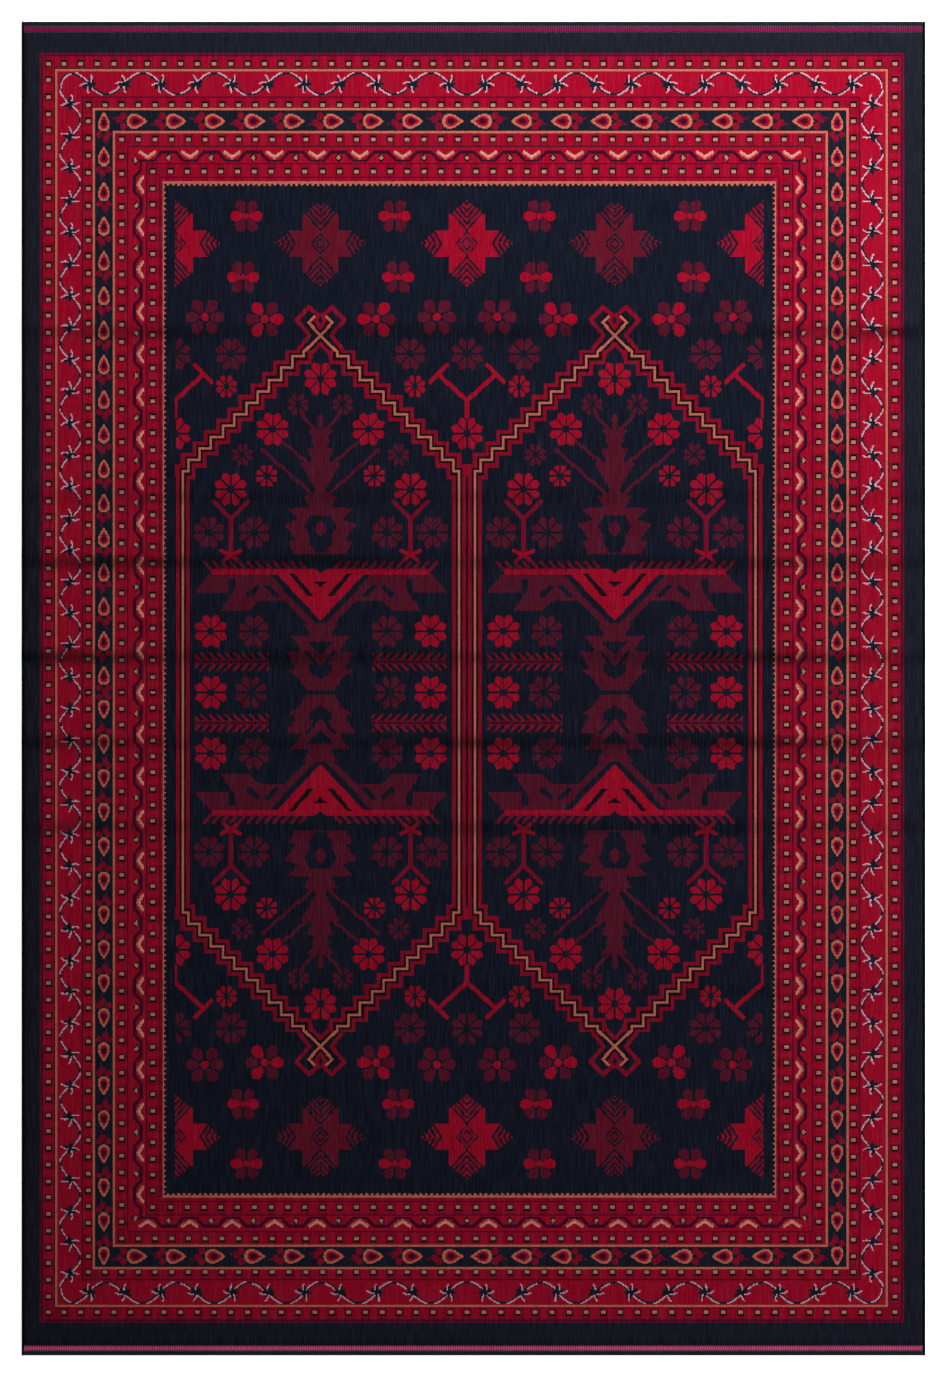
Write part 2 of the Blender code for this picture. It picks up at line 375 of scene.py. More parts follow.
WINGS = [(39, 104.3), (99, 104.3), (113, 87.6), (81.6, 87.6), (81.6, 100.2), (75.6, 100.2)]
WINGS += [(75.6, 92.2), (88.9, 72.5), (64.5, 72.5), (55.6, 79.8), (52.6, 81.4), (30, 81.4)]
EYES = [[(64, 86.2), (56, 92.6)], [(47.5, 92.8), (38.8, 86)]]
BARB_START, BARB_PITCH, BARBS = 12, 7.77, 12
panel.dye_checked(inside(panel, WINGS), "wine")
for eye in EYES:
    panel.dye(stroke(panel, eye, 4.6), "field_navy")
panel.dye_checked(stroke(panel, [(50, 103), (1.5, 54.5), (0, 54.5)], 5.6), "wine")
panel.dye((panel.u > 36) & (panel.u < 97.5) & (panel.v > 104) & (panel.v < 109), "crimson")
for barb in range(BARBS):
    foot = BARB_START + barb * BARB_PITCH
    panel.dye(stroke(panel, [(foot, 108), (foot + 6, 115.2)], 2.6), "dim_red")

WAIST = [
    ([(38.6, 104.1), (44.4, 104.1), (0, 57.5), (0, 64)], "field_navy"),
    ([(0, 104.3), (5, 108.9), (40, 108.9), (39.8, 105.5), (0, 63.6)], "crimson"),
    ([(-6.5, 98.3), (6.5, 98.3), (0, 92.3)], "black"),
    ([(24.1, 105.5), (28.6, 105.5), (11.6, 85.1), (5.6, 85.1)], "black"),
]
for outline, yarn in WAIST:
    panel.dye(inside(panel, outline), yarn)
print("crimson knots in the half panel:", int((panel.yarns == NUMBER["crimson"]).sum()))

# %% [markdown]
# Two dim trees stand on the panel's axis, one above the waist and one below. Their jagged outlines are
# filled with alternate wine and navy knots.

# %% The dim trees
UPPER_TREE = [
    (0, 247.4), (2.7, 240.4), (1.8, 232.5), (11.1, 231.4), (6.1, 223.7), (8.6, 222), (4.9, 216),
    (11.8, 214.6), (7.1, 203.6), (17.9, 202.7), (3.6, 177.6), (5.7, 175.5), (16.1, 172.7),
    (8.6, 163.6), (28.4, 162.2), (19.6, 152.2), (32.7, 148.4), (22, 134.9), (28.2, 132.6),
    (22.8, 121.9), (0, 121.9),
]
TREE_OPENING = [(0, 156), (9.8, 156), (14.1, 146.2), (10.4, 138.8), (10.4, 131.8)]
TREE_OPENING += [(3.6, 122.6), (0, 122.6)]
BRANCHES = [[(52, 213.9), (7.9, 175.5)], [(32.9, 220.2), (9.4, 200.6)], [(15.7, 243.6), (5.1, 232.8)]]
panel.dye_checked(inside(panel, UPPER_TREE), "wine")
for branch in BRANCHES:
    panel.dye_checked(stroke(panel, branch, 3), "wine")
panel.dye(inside(panel, TREE_OPENING), "field_navy")
panel.dye_checked(lozenge(panel, (AXIS, 144.3), 5.8, 8.3), "wine")

LOWER_TREE = [
    (0, 61), (15, 61), (9.6, 51), (9.6, 49.7), (27.3, 49.7), (18, 39.8), (18, 35.9), (30.7, 35.9),
    (22.9, 22.9), (22.9, 19.8), (28, 19.8), (17.4, 9.8), (16.4, 8.1), (12.6, 2.1), (0, 2.1),
]
LOWER_OPENINGS = [
    [(0, 45), (11.6, 45), (0, 32.2)],
    [(0, 22), (4, 25), (10, 25), (10, 19), (0, 10.8)],
    [(0, 1.5), (20, 1.5), (20, -1), (0, -1)],
]
panel.dye_checked(inside(panel, LOWER_TREE), "wine")
for opening in LOWER_OPENINGS:
    panel.dye(inside(panel, opening), "field_navy")
panel.dye(stroke(panel, [(12.5, 36), (7, 29), (0, 21)], 3), "field_navy")

# %% [markdown]
# A feather bar lies between the two trees: short slanted barbs on a thin dark rib.

# %% Feather bars
FEATHER_MIDDLE, FEATHER_HALF = 27.4, 8
FEATHER_START, FEATHER_STOP, FEATHER_PITCH = 46.3, 112.4, 7.33
rise = abs(panel.v - FEATHER_MIDDLE)
bar = (panel.u > FEATHER_START) & (panel.u < FEATHER_STOP) & (rise < FEATHER_HALF)
barbs = (panel.u - rise - FEATHER_START) % FEATHER_PITCH < 3.9 - 0.24 * rise
panel.dye(bar, "field_navy")
panel.dye(bar & barbs, "deep_crimson")
panel.dye(bar & (rise < 1.9), "plum")
panel.dye(bar & (rise < 0.9), "dark_line")
print("half panel done:", panel.yarns.shape)

# %% [markdown]
# ## A quarter of the whole design
# The borders mirror about both middles of the rug as well, so a quarter of the design is enough. Here p
# counts knots from the middle to the side, and q from the middle to the head. A border's own place is
# easier to count inwards, so side_in counts in from the side and end_in from the head.

# %% Lay out the quarter
HALF_WIDE, HALF_TALL = PATTERN_COLUMNS // 2, PATTERN_ROWS // 2
BANDS = ["outer_guard", "vine_border", "second_guard", "blossom_border"]
BANDS += ["third_guard", "meander_border", "inner_guard"]
quarter = Paper(HALF_WIDE, HALF_TALL, "field_navy")
panel_pair = np.concatenate([panel.yarns[:, ::-1], panel.yarns], axis=1)
quarter.yarns[:PANEL_TALL, : 2 * PANEL_WIDE] = panel_pair
side_in, end_in = HALF_WIDE - quarter.u, HALF_TALL - quarter.v


def band_starts():
    """Where each border starts, in knots from the side and from the head."""
    starts, side, end = {}, 0, 0
    for band in BANDS:
        left, head = knot_lines(band + "_left"), knot_lines(band + "_head")
        wide, tall = left[1] - left[0], head[3] - head[2]
        starts[band] = (side, side + wide, end, end + tall)
        side, end = side + wide, end + tall
    return starts


RING = band_starts()


def ring(side_start, side_stop, end_start, end_stop):
    """Squares of a frame-shaped line, mitred by its own two widths."""
    outer = (side_in > side_start) & (end_in > end_start)
    return outer & ~((side_in > side_stop) & (end_in > end_stop))


def line_in(band, start, stop, yarn):
    """A line that runs all round, from start to stop knots inside a band's outer edge."""
    side, _, end, _ = RING[band]
    quarter.dye(ring(side + start, side + stop, end + start, end + stop), yarn)


for band in BANDS:
    quarter.dye(ring(*RING[band]), "blossom_navy" if band == "blossom_border" else "crimson")
print("borders, in knots:", RING)

# %% [markdown]
# ## Guards
# A guard is a narrow border that keeps two wide ones apart. Four of them run round this rug, each a
# red ribbon with small beige squares in dark boxes. The count of squares is chosen so that one lands
# in each corner, and the spacing is then shared out evenly.

# %% Squares of the guards
SQUARE_WIDE, SQUARE_TALL, BOX_HALF, SHADE_HALF = 1.5, 1.5, 3.0, 4.6
GUARDS = {
    # Middle in from the side and from the head, spacing along the head and along the side, and whether
    # a square lands on the head's middle and on the side's middle.
    "outer_guard": (7.5, 8.5, 14.8, 14.75, True, False),
    "second_guard": (43.5, 44.5, 15.1, 14.8, False, True),
    "third_guard": (73.5, 75.5, 15.2, 14.5, False, True),
    "inner_guard": (102.5, 103.5, 15.2, 14.5, False, True),
}


def even_places(reach, spacing, on_middle):
    """Places from a corner to the middle line, near the wished spacing."""
    offset = 0.0 if on_middle else 0.5
    count = round(reach / spacing - offset) + offset
    pitch = reach / count
    return [pitch * (place + offset) for place in range(int(count - offset) + 1)]


def guard_squares(band):
    side, end, head_space, side_space, head_middle, side_middle = GUARDS[band]
    corner = (HALF_WIDE - side, HALF_TALL - end)
    along_head = [(p, corner[1]) for p in even_places(corner[0], head_space, head_middle)]
    along_side = [(corner[0], q) for q in even_places(corner[1], side_space, side_middle)]
    return along_head, along_side


def box_mask(centre, half_wide, half_tall):
    return (abs(quarter.u - centre[0]) <= half_wide) & (abs(quarter.v - centre[1]) <= half_tall)


for band in GUARDS:
    along_head, along_side = guard_squares(band)
    ribbon = ring(*RING[band])
    for centre in along_head:
        quarter.dye(ribbon & box_mask(centre, SHADE_HALF, 9), "deep_crimson")
    for centre in along_side:
        quarter.dye(ribbon & box_mask(centre, 9, SHADE_HALF), "deep_crimson")
    for centre in along_head + along_side:
        p, q = round(centre[0]), round(centre[1])
        quarter.dye(ribbon & box_mask((p, q), BOX_HALF, BOX_HALF), "black")
        quarter.dye(ribbon & box_mask((p, q - 0.5), SQUARE_WIDE, SQUARE_TALL), "beige")
    print(band, "squares in a quarter:", len(along_head) + len(along_side))

# %% Lines between the borders
EDGE_LINES = [
    ("outer_guard", 0, 2, "plum"), ("outer_guard", 2, 3, "dark_line"),
    ("outer_guard", 12.5, 13.5, "dark_line"), ("outer_guard", 13.5, 15.5, "gold"),
    ("second_guard", 0, 1.2, "zigzag_wine"), ("second_guard", 9.5, 11.5, "gold"),
    ("second_guard", 11.5, 12, "blossom_navy"), ("third_guard", 0, 2, "gold"),
    ("third_guard", 13, 14, "zigzag_wine"), ("inner_guard", 0, 1.2, "zigzag_wine"),
    ("inner_guard", 12, 13.2, "zigzag_wine"),
]
for edge_line in EDGE_LINES:
    line_in(*edge_line)
print("lines that run all round:", len(EDGE_LINES))

# %% [markdown]
# The field is edged with gold teeth. The gold line behind them is narrower along the sides.

# %% The gold sawtooth
_, FIELD_SIDE, _, FIELD_END = RING["inner_guard"]
TEETH_PITCH, TOOTH_LONG, TOOTH_SLOPE = 4.8, 2.4, 0.62
under = ring(FIELD_SIDE - TOOTH_LONG, FIELD_SIDE, FIELD_END - TOOTH_LONG, FIELD_END)
quarter.dye(under, "field_navy")
quarter.dye(ring(FIELD_SIDE - 3.4, FIELD_SIDE - 2.0, FIELD_END - 4.4, FIELD_END - TOOTH_LONG), "gold")
on_head = end_in < FIELD_END
along = np.where(on_head, quarter.u, quarter.v)
depth = np.where(on_head, end_in - FIELD_END + TOOTH_LONG, side_in - FIELD_SIDE + TOOTH_LONG)
tooth_half = np.where(on_head, 1.9, 1.6) - TOOTH_SLOPE * depth
quarter.dye(under & (abs(along % TEETH_PITCH - TEETH_PITCH / 2) < tooth_half), "gold")
print("teeth along the head:", int(2 * HALF_WIDE / TEETH_PITCH))

# %% [markdown]
# ## The vine border
# A dark vine swings from edge to edge of a red ribbon, with a pale thread along one side of its slopes
# and a small dark spray wherever it crosses the middle. At the corner it loops round.

# %% The vine
VINE_HEAD_MIDDLE, VINE_HEAD_SWING = 27, 9.3
VINE_SIDE_MIDDLE, VINE_SIDE_SWING = 27.5, 8.9
VINE_HEAD_SWINGS, VINE_SIDE_SWINGS = 5.5, 9.5
LOOP = (28.5, 30.2)
LOOP_RADII = (9.9, 12.5)
LOOP_TURNS = np.linspace(0, math.pi / 2, 13)
loop_p, loop_q = HALF_WIDE - LOOP[0], HALF_TALL - LOOP[1]


def vine_head(p):
    swing = VINE_HEAD_SWING * math.cos(math.tau * p * VINE_HEAD_SWINGS / loop_p)
    return HALF_TALL - VINE_HEAD_MIDDLE - swing


def vine_side(q):
    swing = VINE_SIDE_SWING * math.cos(math.tau * q * VINE_SIDE_SWINGS / loop_q)
    return HALF_WIDE - VINE_SIDE_MIDDLE - swing


head_vine = [(p, vine_head(p)) for p in np.linspace(0, loop_p, 221)]
side_vine = [(vine_side(q), q) for q in np.linspace(0, loop_q, 381)]
corner_vine = [
    (loop_p + LOOP_RADII[0] * math.sin(t), loop_q + LOOP_RADII[1] * math.cos(t))
    for t in LOOP_TURNS
]
for path in (head_vine, side_vine, corner_vine):
    quarter.dye(stroke(quarter, path, 2.2), "blossom_navy")
print("vine swings:", VINE_HEAD_SWINGS, "and", VINE_SIDE_SWINGS, "in a quarter")

# %% The pale thread
THREAD_OFFSET, THREAD_WIDE, THREAD_REACH = 1.0, 1.25, 0.983


def slopes(path, height):
    """The parts of a vine away from its crests, each a list of (point, height)."""
    parts, part = [], []
    for p, q in path:
        if abs(height(p, q)) < THREAD_REACH:
            part.append((p, q, height(p, q)))
        elif part:
            parts.append(part)
            part = []
    return parts + ([part] if part else [])


def head_height(p, q):
    return (q - HALF_TALL + VINE_HEAD_MIDDLE) / VINE_HEAD_SWING


def side_height(p, q):
    return (p - HALF_WIDE + VINE_SIDE_MIDDLE) / VINE_SIDE_SWING


def dye_thread(points):
    quarter.dye(stroke(quarter, points, THREAD_WIDE), "blush")


def beside(part, sides, lean):
    """The points of a slope, each moved to its own side of the vine."""
    return [(p + lean[0] * side * THREAD_OFFSET, q + lean[1] * side * THREAD_OFFSET)
            for (p, q, _), side in zip(part, sides)]


for part in slopes(head_vine, head_height):
    rising = part[-1][2] > part[0][2]
    sides = [1 if not rising or height > 0 else -1 for _, _, height in part]
    dye_thread(beside(part, sides, (-0.6 if rising else 0.6, 0.8)))
for part in slopes(side_vine, side_height):
    rising = part[-1][2] > part[0][2]
    sides = [-1 if not rising or height < 0 else 1 for _, _, height in part]
    dye_thread(beside(part, sides, (0.8, 0.3)))
dye_thread([(p - THREAD_OFFSET * math.sin(t), q - THREAD_OFFSET * math.cos(t))
            for (p, q), t in zip(corner_vine, LOOP_TURNS)])
print("thread offset, knots:", THREAD_OFFSET)

# %% Sprays on the vine
# Turns in degrees of the dark arms and of the pale ones, for each way that the vine slopes.
HEAD_SPRAYS = {
    "rises": ((180, 135, 261, 325), (107, 350, 273)),
    "falls": ((156, 207, 252, 320), (73, 3, 262)),
}
SIDE_SPRAYS = {
    "rises": ((95, 180, 270, 340), (99, 347, 172)),
    "falls": ((85, 190, 280, 0), (84, 10, 190)),
}
DARK_REACH, PALE_REACH = 5.6, 7.8


def draw_spray(centre, turns):
    """Dark arms round a dark heart, and pale-edged ones that curl a little."""
    dark_turns, pale_turns = turns
    for degrees in dark_turns + pale_turns:
        for reach, width in ((DARK_REACH, 1.8), (DARK_REACH - 1.8, 3.2)):
            arm = [centre, from_centre(centre, degrees, reach)]
            quarter.dye(stroke(quarter, arm, width), "blossom_navy")
    quarter.dye(disc(quarter, centre, 2.7), "blossom_navy")
    for degrees in pale_turns:
        dye_thread([from_centre(centre, degrees + curl, reach)
                    for reach, curl in ((2.6, 26), (5.4, 10), (PALE_REACH, 0))])


for place in range(int(2 * VINE_HEAD_SWINGS)):
    p = loop_p * (place + 0.5) / (2 * VINE_HEAD_SWINGS)
    draw_spray((p, vine_head(p)), HEAD_SPRAYS["falls" if place % 2 else "rises"])
for place in range(int(2 * VINE_SIDE_SWINGS)):
    q = loop_q * (place + 0.5) / (2 * VINE_SIDE_SWINGS)
    draw_spray((vine_side(q), q), SIDE_SPRAYS["falls" if place % 2 else "rises"])
print("sprays in a quarter:", int(2 * VINE_HEAD_SWINGS) + int(2 * VINE_SIDE_SWINGS))

# %% [markdown]
# ## The blossom border
# On navy, drop-shaped buds point towards the middle of each end and away from the middle of each side.
# Behind each bud sits a dim red sprig: three round leaves about a dark dot.

# %% Buds and sprigs
BLOSSOM = RING["blossom_border"]
HEAD_BUDS = [12.65 + 35.2 * place for place in range(9)]
SIDE_BUDS = [15.35 + 30.36 * place for place in range(17)]
HEAD_BUD_LINE = HALF_TALL - (BLOSSOM[2] + BLOSSOM[3]) / 2 - 0.5
SIDE_BUD_LINE = HALF_WIDE - (BLOSSOM[0] + BLOSSOM[1]) / 2


def drop_outline(centre, half_long, half_wide, direction):
    """A drop whose tip points along direction."""
    points = []
    for t in np.linspace(0, math.tau, 33)[:-1]:
        along = half_long * math.cos(t)
        across = half_wide / 0.77 * math.sin(t) * abs(math.sin(t / 2))
        points.append((centre[0] + along * direction[0] - across * direction[1],
                       centre[1] + along * direction[1] + across * direction[0]))
    return points


def draw_bud(centre, half_long, half_wide, direction):
    for scale, yarn in ((1.0, "orange_gold"), (0.70, "crimson"), (0.40, "zigzag_wine")):
        back = (1 - scale) * -0.10 * half_long
        middle = (centre[0] + back * direction[0], centre[1] + back * direction[1])
        drop = drop_outline(middle, half_long * scale, half_wide * scale, direction)
        quarter.dye(inside(quarter, drop), yarn)


def draw_sprig(centre, direction, gap, leaf, bend):
    """Three leaves behind a bud; direction is where the bud points, and bend is where the stem leans."""
    def place(back, across):
        return (centre[0] - back * direction[0] + across * direction[1],
                centre[1] - back * direction[1] + across * direction[0])
    leaves = ((gap + 0.6, leaf * 1.5), (gap + 0.6, -leaf * 1.5), (gap + leaf * 1.5, bend * 1.2))
    for back, across in leaves:
        quarter.dye(disc(quarter, place(back, across), leaf), "deep_crimson")
    stem = [place(gap + leaf * 2, bend * 1.5), place(gap + leaf * 3.6, bend * leaf)]
    quarter.dye(stroke(quarter, stem, 1.6), "plum")
    quarter.dye(disc(quarter, place(gap - 0.6, 0), leaf * 0.6), "blossom_navy")


for place, p in enumerate(HEAD_BUDS):
    draw_sprig((p, HEAD_BUD_LINE), (-1, 0), 11.6, 3.0, 1 if place % 2 else -1)
for place, q in enumerate(SIDE_BUDS):
    draw_sprig((SIDE_BUD_LINE, q), (0, 1), 10.6, 2.7, 1 if place % 2 else -1)
for p in HEAD_BUDS:
    draw_bud((p, HEAD_BUD_LINE), 9.3, 6.5, (-1, 0))
for q in SIDE_BUDS:
    draw_bud((SIDE_BUD_LINE, q), 8.6, 5.2, (0, 1))
print("buds in a quarter:", len(HEAD_BUDS) + len(SIDE_BUDS))

# %% [markdown]
# ## The meander border
# A dark line steps in and out, with a gold chevron in each bay and a small cream lozenge between.

# %% The meander
MEANDER = RING["meander_border"]
HEAD_PITCH, SIDE_PITCH = 37.96, 37.2
HEAD_BAYS, SIDE_BAYS = 8, 12
CHEVRON_ARM = (4.4, 6.6)
FLAT_LOZENGE, FLAT_CHEVRON = 6.2, 5.9


def meander_head():
    q_out, q_in = HALF_TALL - MEANDER[2] - 4.2, HALF_TALL - MEANDER[3] + 1.9
    path = []
    for bay in range(HEAD_BAYS):
        middle, bend = HEAD_PITCH * bay, HEAD_PITCH * (bay + 0.5)
        path += [(middle - FLAT_LOZENGE, q_out), (middle + FLAT_LOZENGE, q_out)]
        path += [(bend - FLAT_CHEVRON, q_in), (bend + FLAT_CHEVRON, q_in)]
    return path


def meander_side():
    p_out, p_in = HALF_WIDE - MEANDER[0] - 5.2, HALF_WIDE - MEANDER[1] + 4.7
    path = []
    for bay in range(SIDE_BAYS):
        middle, bend = SIDE_PITCH * bay, SIDE_PITCH * (bay + 0.5)
        path += [(p_out, middle - FLAT_CHEVRON), (p_out, middle + FLAT_CHEVRON)]
        path += [(p_in, bend - FLAT_LOZENGE), (p_in, bend + FLAT_LOZENGE)]
    last = SIDE_PITCH * SIDE_BAYS
    return path + [(p_out, last - FLAT_CHEVRON), (p_out, last + FLAT_CHEVRON)]


def draw_chevron(tip, arm, direction):
    """A gold chevron with a cream line, opening away from direction."""
    across = (direction[1], direction[0])
    ends = [(tip[0] - direction[0] * arm[0] + side * across[0] * arm[1],
             tip[1] - direction[1] * arm[0] + side * across[1] * arm[1]) for side in (-1, 1)]
    path = [ends[0], tip, ends[1]]
    quarter.dye(stroke(quarter, path, 3.0), "orange_gold")
    inner = [(u - direction[0] * 0.8, v - direction[1] * 0.8) for u, v in path]
    quarter.dye(stroke(quarter, inner, 1.3), "cream")


def draw_lozenge(centre):
    quarter.dye(lozenge(quarter, centre, 3.5, 4.1), "black")
    quarter.dye(lozenge(quarter, centre, 2.0, 2.5), "beige")


corner_steps = [(HALF_WIDE - 91, HALF_TALL - 94.3), (HALF_WIDE - 91, HALF_TALL - 102.6)]
head_line, side_line = meander_head(), meander_side()
quarter.dye(stroke(quarter, head_line + corner_steps + side_line[::-1], 2.7), "zigzag_wine")
for bay in range(HEAD_BAYS):
    draw_lozenge((HEAD_PITCH * bay, HALF_TALL - MEANDER[2] - 9.4))
    draw_chevron((HEAD_PITCH * (bay + 0.5), HALF_TALL - MEANDER[2] - 9.2), CHEVRON_ARM, (0, -1))
for bay in range(SIDE_BAYS):
    draw_lozenge((HALF_WIDE - MEANDER[0] - 7.2, SIDE_PITCH * (bay + 0.5)))
for bay in range(SIDE_BAYS + 1):
    draw_chevron((HALF_WIDE - MEANDER[0] - 8.6, SIDE_PITCH * bay), CHEVRON_ARM, (1, 0))
draw_lozenge((HALF_WIDE - 86.4, HALF_TALL - 93.8))
print("bays in a quarter:", HEAD_BAYS, "and", SIDE_BAYS)

# %% Fold the paper out
upper = np.concatenate([quarter.yarns[:, ::-1], quarter.yarns], axis=1)
pattern = np.concatenate([upper[::-1], upper], axis=0)
pattern_rows, pattern_columns = pattern.shape
design = np.full((PILE_ROWS, PILE_COLUMNS), NUMBER["margin_navy"], np.uint8)
row_start = MARGIN_FOOT + (PATTERN_ROWS - pattern_rows) // 2
design[row_start : row_start + pattern_rows, MARGIN_LEFT : MARGIN_LEFT + pattern_columns] = pattern
print("whole design:", design.shape, "knots,", design.size, "in all")

# %% [markdown]
# ## How the cloth lies
# No rug is dead straight. The weaver's tension drifts, so the middle of this one sits a few
# millimetres off, and it has been folded for storage, so soft ridges cross it. One function moves every
# piece in the same way, so they stay together. Just below each ridge the pile is painted darker, as
# painted shade.

# %% Drift and old folds
rug_half_wide, rug_half_long = cad_high[0], cad_high[1]
DRIFT_SIDE, DRIFT_ALONG = -0.0095, -0.009
# Where each old fold lies along the rug, and how strong it is.
FOLDS = [(0.644, 0.8), (0.352, 0.45), (0.237, 0.9), (0.069, 1.0)]
FOLDS += [(-0.082, 0.9), (-0.232, 0.6), (-0.52, 0.3)]
FOLD_RISE, FOLD_WIDTH = 0.0016, 0.022
# The painted shade lies this far below each ridge, and is this wide.
SHADE_BELOW, SHADE_WIDTH = 0.014, 0.013


def fold_rise(y):
    return FOLD_RISE * sum(s * np.exp(-(((y - place) / FOLD_WIDTH) ** 2)) for place, s in FOLDS)


def fold_shade(y):
    """Painted shade just below each ridge: how much darker the pile is painted there."""
    return sum(s * np.exp(-(((y - place + SHADE_BELOW) / SHADE_WIDTH) ** 2)) for place, s in FOLDS)


def lay(points):
    """Moves points, an array of x, y and z, as the cloth lies."""
    x, y, z = points.T
    side = DRIFT_SIDE * (1 - np.clip(x / rug_half_wide, -1, 1) ** 2)
    along_rug = DRIFT_ALONG * (1 - np.clip(y / rug_half_long, -1, 1) ** 2)
    return np.column_stack((x + side, y + along_rug, z + fold_rise(y)))


print("highest fold, mm:", round(1000 * float(fold_rise(np.linspace(-1, 1, 500)).max()), 2))

# %% [markdown]
# ## Mesh sheets
# Pile and ground weave are sheets with one busy face. Each is built as a fine grid on that face, with
# one long strip per row on the hidden face and plain walls, so it is closed but light. A 4 mm face
# holds four knots: their yarn numbers ride on the face, and the shader picks the right one.

# %% Build a closed sheet
KNOTS_PER_FACE = 2
dice = np.random.default_rng(11)


def grid_lines(start, stop, step=KNOTS_PER_FACE):
    return np.array(list(range(start, stop, step)) + [stop])


def sheet_faces(wide, tall, up):
    """Corner numbers of the fine faces, then of the strips and walls."""
    fine = np.arange((wide + 1) * (tall + 1)).reshape(tall + 1, wide + 1)
    hidden = fine.size + np.arange(2 * (tall + 1)).reshape(tall + 1, 2)
    quads = np.stack([fine[:-1, :-1], fine[:-1, 1:], fine[1:, 1:], fine[1:, :-1]], axis=-1)
    quads = quads.reshape(-1, 4)
    rest = [[hidden[r, 0], hidden[r + 1, 0], hidden[r + 1, 1], hidden[r, 1]] for r in range(tall)]
    rest += [[fine[r, 0], fine[r + 1, 0], hidden[r + 1, 0], hidden[r, 0]] for r in range(tall)]
    rest += [[fine[r + 1, -1], fine[r, -1], hidden[r, 1], hidden[r + 1, 1]] for r in range(tall)]
    rest.append(list(fine[0, ::-1]) + [hidden[0, 0], hidden[0, 1]])
    rest.append(list(fine[-1, :]) + [hidden[-1, 1], hidden[-1, 0]])
    if up:
        return quads, rest
    return quads[:, ::-1], [face[::-1] for face in rest]


def mesh_from(name, points, quads, rest):
    """A mesh whose first faces are quads and whose rest may have any number of corners."""
    mesh = bpy.data.meshes.new(name)
    corners = [quads.ravel()] + [np.array(face) for face in rest]
    counts = np.array([4] * len(quads) + [len(face) for face in rest])
    loops = np.concatenate(corners).astype(np.int32)
    mesh.vertices.add(len(points))
    mesh.vertices.foreach_set("co", np.asarray(points, np.float32).ravel())
    mesh.loops.add(len(loops))
    mesh.loops.foreach_set("vertex_index", loops)
    mesh.polygons.add(len(counts))
    starts = np.concatenate([[0], np.cumsum(counts)[:-1]]).astype(np.int32)
    mesh.polygons.foreach_set("loop_start", starts)
    smooth = np.zeros(len(counts), bool)
    smooth[: len(quads)] = True
    mesh.polygons.foreach_set("use_smooth", smooth)
    mesh.update(calc_edges=True)
    mesh.validate()
    edge_of_loop = np.zeros(len(mesh.loops), np.int32)
    mesh.loops.foreach_get("edge_index", edge_of_loop)
    sharp = np.zeros(len(mesh.edges), bool)
    sharp[edge_of_loop[quads.size :]] = True
    mesh.edges.foreach_set("use_edge_sharp", sharp)
    piece = bpy.data.objects.new(name, mesh)
    bpy.context.collection.objects.link(piece)
    return piece


def keep_point_value(piece, name, values):
    data = piece.data.attributes.new(name, "FLOAT", "POINT").data
    data.foreach_set("value", np.asarray(values, np.float32))


print("one face holds", KNOTS_PER_FACE**2, "knots")

# %% Yarn numbers on the faces
def yarn_share(numbers):
    """Yarn numbers as values from 0 to 1, in the middle of each step of the colour list."""
    return (numbers + 0.5) / len(YARNS)


def knots_on_faces(columns, rows, apart=1):
    """Four yarn numbers for each fine face: lower left and right, then upper left and right."""
    left, low = columns[:-1], rows[:-1]
    right = np.minimum(left + apart, columns[-1] - 1)
    high = np.minimum(low + apart, rows[-1] - 1)
    corners = ((low, left), (low, right), (high, left), (high, right))
    picks = [design[np.ix_(row, column)] for row, column in corners]
    return yarn_share(np.stack(picks, axis=-1).reshape(-1, 4))


def weave_map(piece, quads, columns, rows):
    """A UV map that counts knots, so the shader knows which knot it is on."""
    layer = piece.data.uv_layers.new(name="weave")
    wide = len(columns)
    spots = np.zeros((len(piece.data.loops), 2), np.float32)
    flat = quads.ravel()
    spots[: len(flat), 0] = columns[flat % wide]
    spots[: len(flat), 1] = rows[flat // wide]
    layer.data.foreach_set("uv", spots.ravel())


def set_knots(piece, fine_values, rest_count):
    attribute = piece.data.attributes.new("knots", "FLOAT_COLOR", "FACE")
    edge = np.repeat(fine_values[:1], rest_count, axis=0)
    values = np.concatenate([fine_values, edge]).astype(np.float32)
    attribute.data.foreach_set("color", values.ravel())


print("black yarn is stored as", round(float(yarn_share(NUMBER["black"])), 3))

# %% [markdown]
# ## Cut pile in a shader
# Wool pile is dull and deep. Each tuft is a small dome, no two take the dye alike, and brushing leaves
# fine streaks along the rug. The colour is painted lighter towards the head and the right side and
# darker towards the foot and the left, as painted light and shade; it is painted darker just below the
# old folds, and a bluish painted sheen runs in thin streaks. These effects are a node group, so every
# material that needs them gets the same wool.

# %% Node helpers
def new_group(name, inputs, outputs):
    group = bpy.data.node_groups.new(name, "ShaderNodeTree")
    for socket, kind, value in inputs:
        made = group.interface.new_socket(name=socket, in_out="INPUT", socket_type=kind)
        if value is not None:
            made.default_value = value
    for socket, kind in outputs:
        group.interface.new_socket(name=socket, in_out="OUTPUT", socket_type=kind)
    start = group.nodes.new("NodeGroupInput")
    finish = group.nodes.new("NodeGroupOutput")
    return group, start, finish


def wire(tree, kind, inputs=(), **settings):
    """Adds a node, sets it and joins its inputs; a value that isn't a socket is set as it is."""
    node = tree.nodes.new(kind)
    for key, value in settings.items():
        setattr(node, key, value)
    for key, value in dict(inputs).items():
        if isinstance(value, bpy.types.NodeSocket):
            tree.links.new(value, node.inputs[key])
        else:
            node.inputs[key].default_value = value
    return node


def maths(tree, operation, a, b=0.0, c=0.0):
    return wire(tree, "ShaderNodeMath", {0: a, 1: b, 2: c}, operation=operation).outputs[0]


def pick(tree, factor, a, b):
    """a where factor is 0, b where it is 1."""
    return wire(tree, "ShaderNodeMix", {0: factor, 2: a, 3: b}).outputs[0]


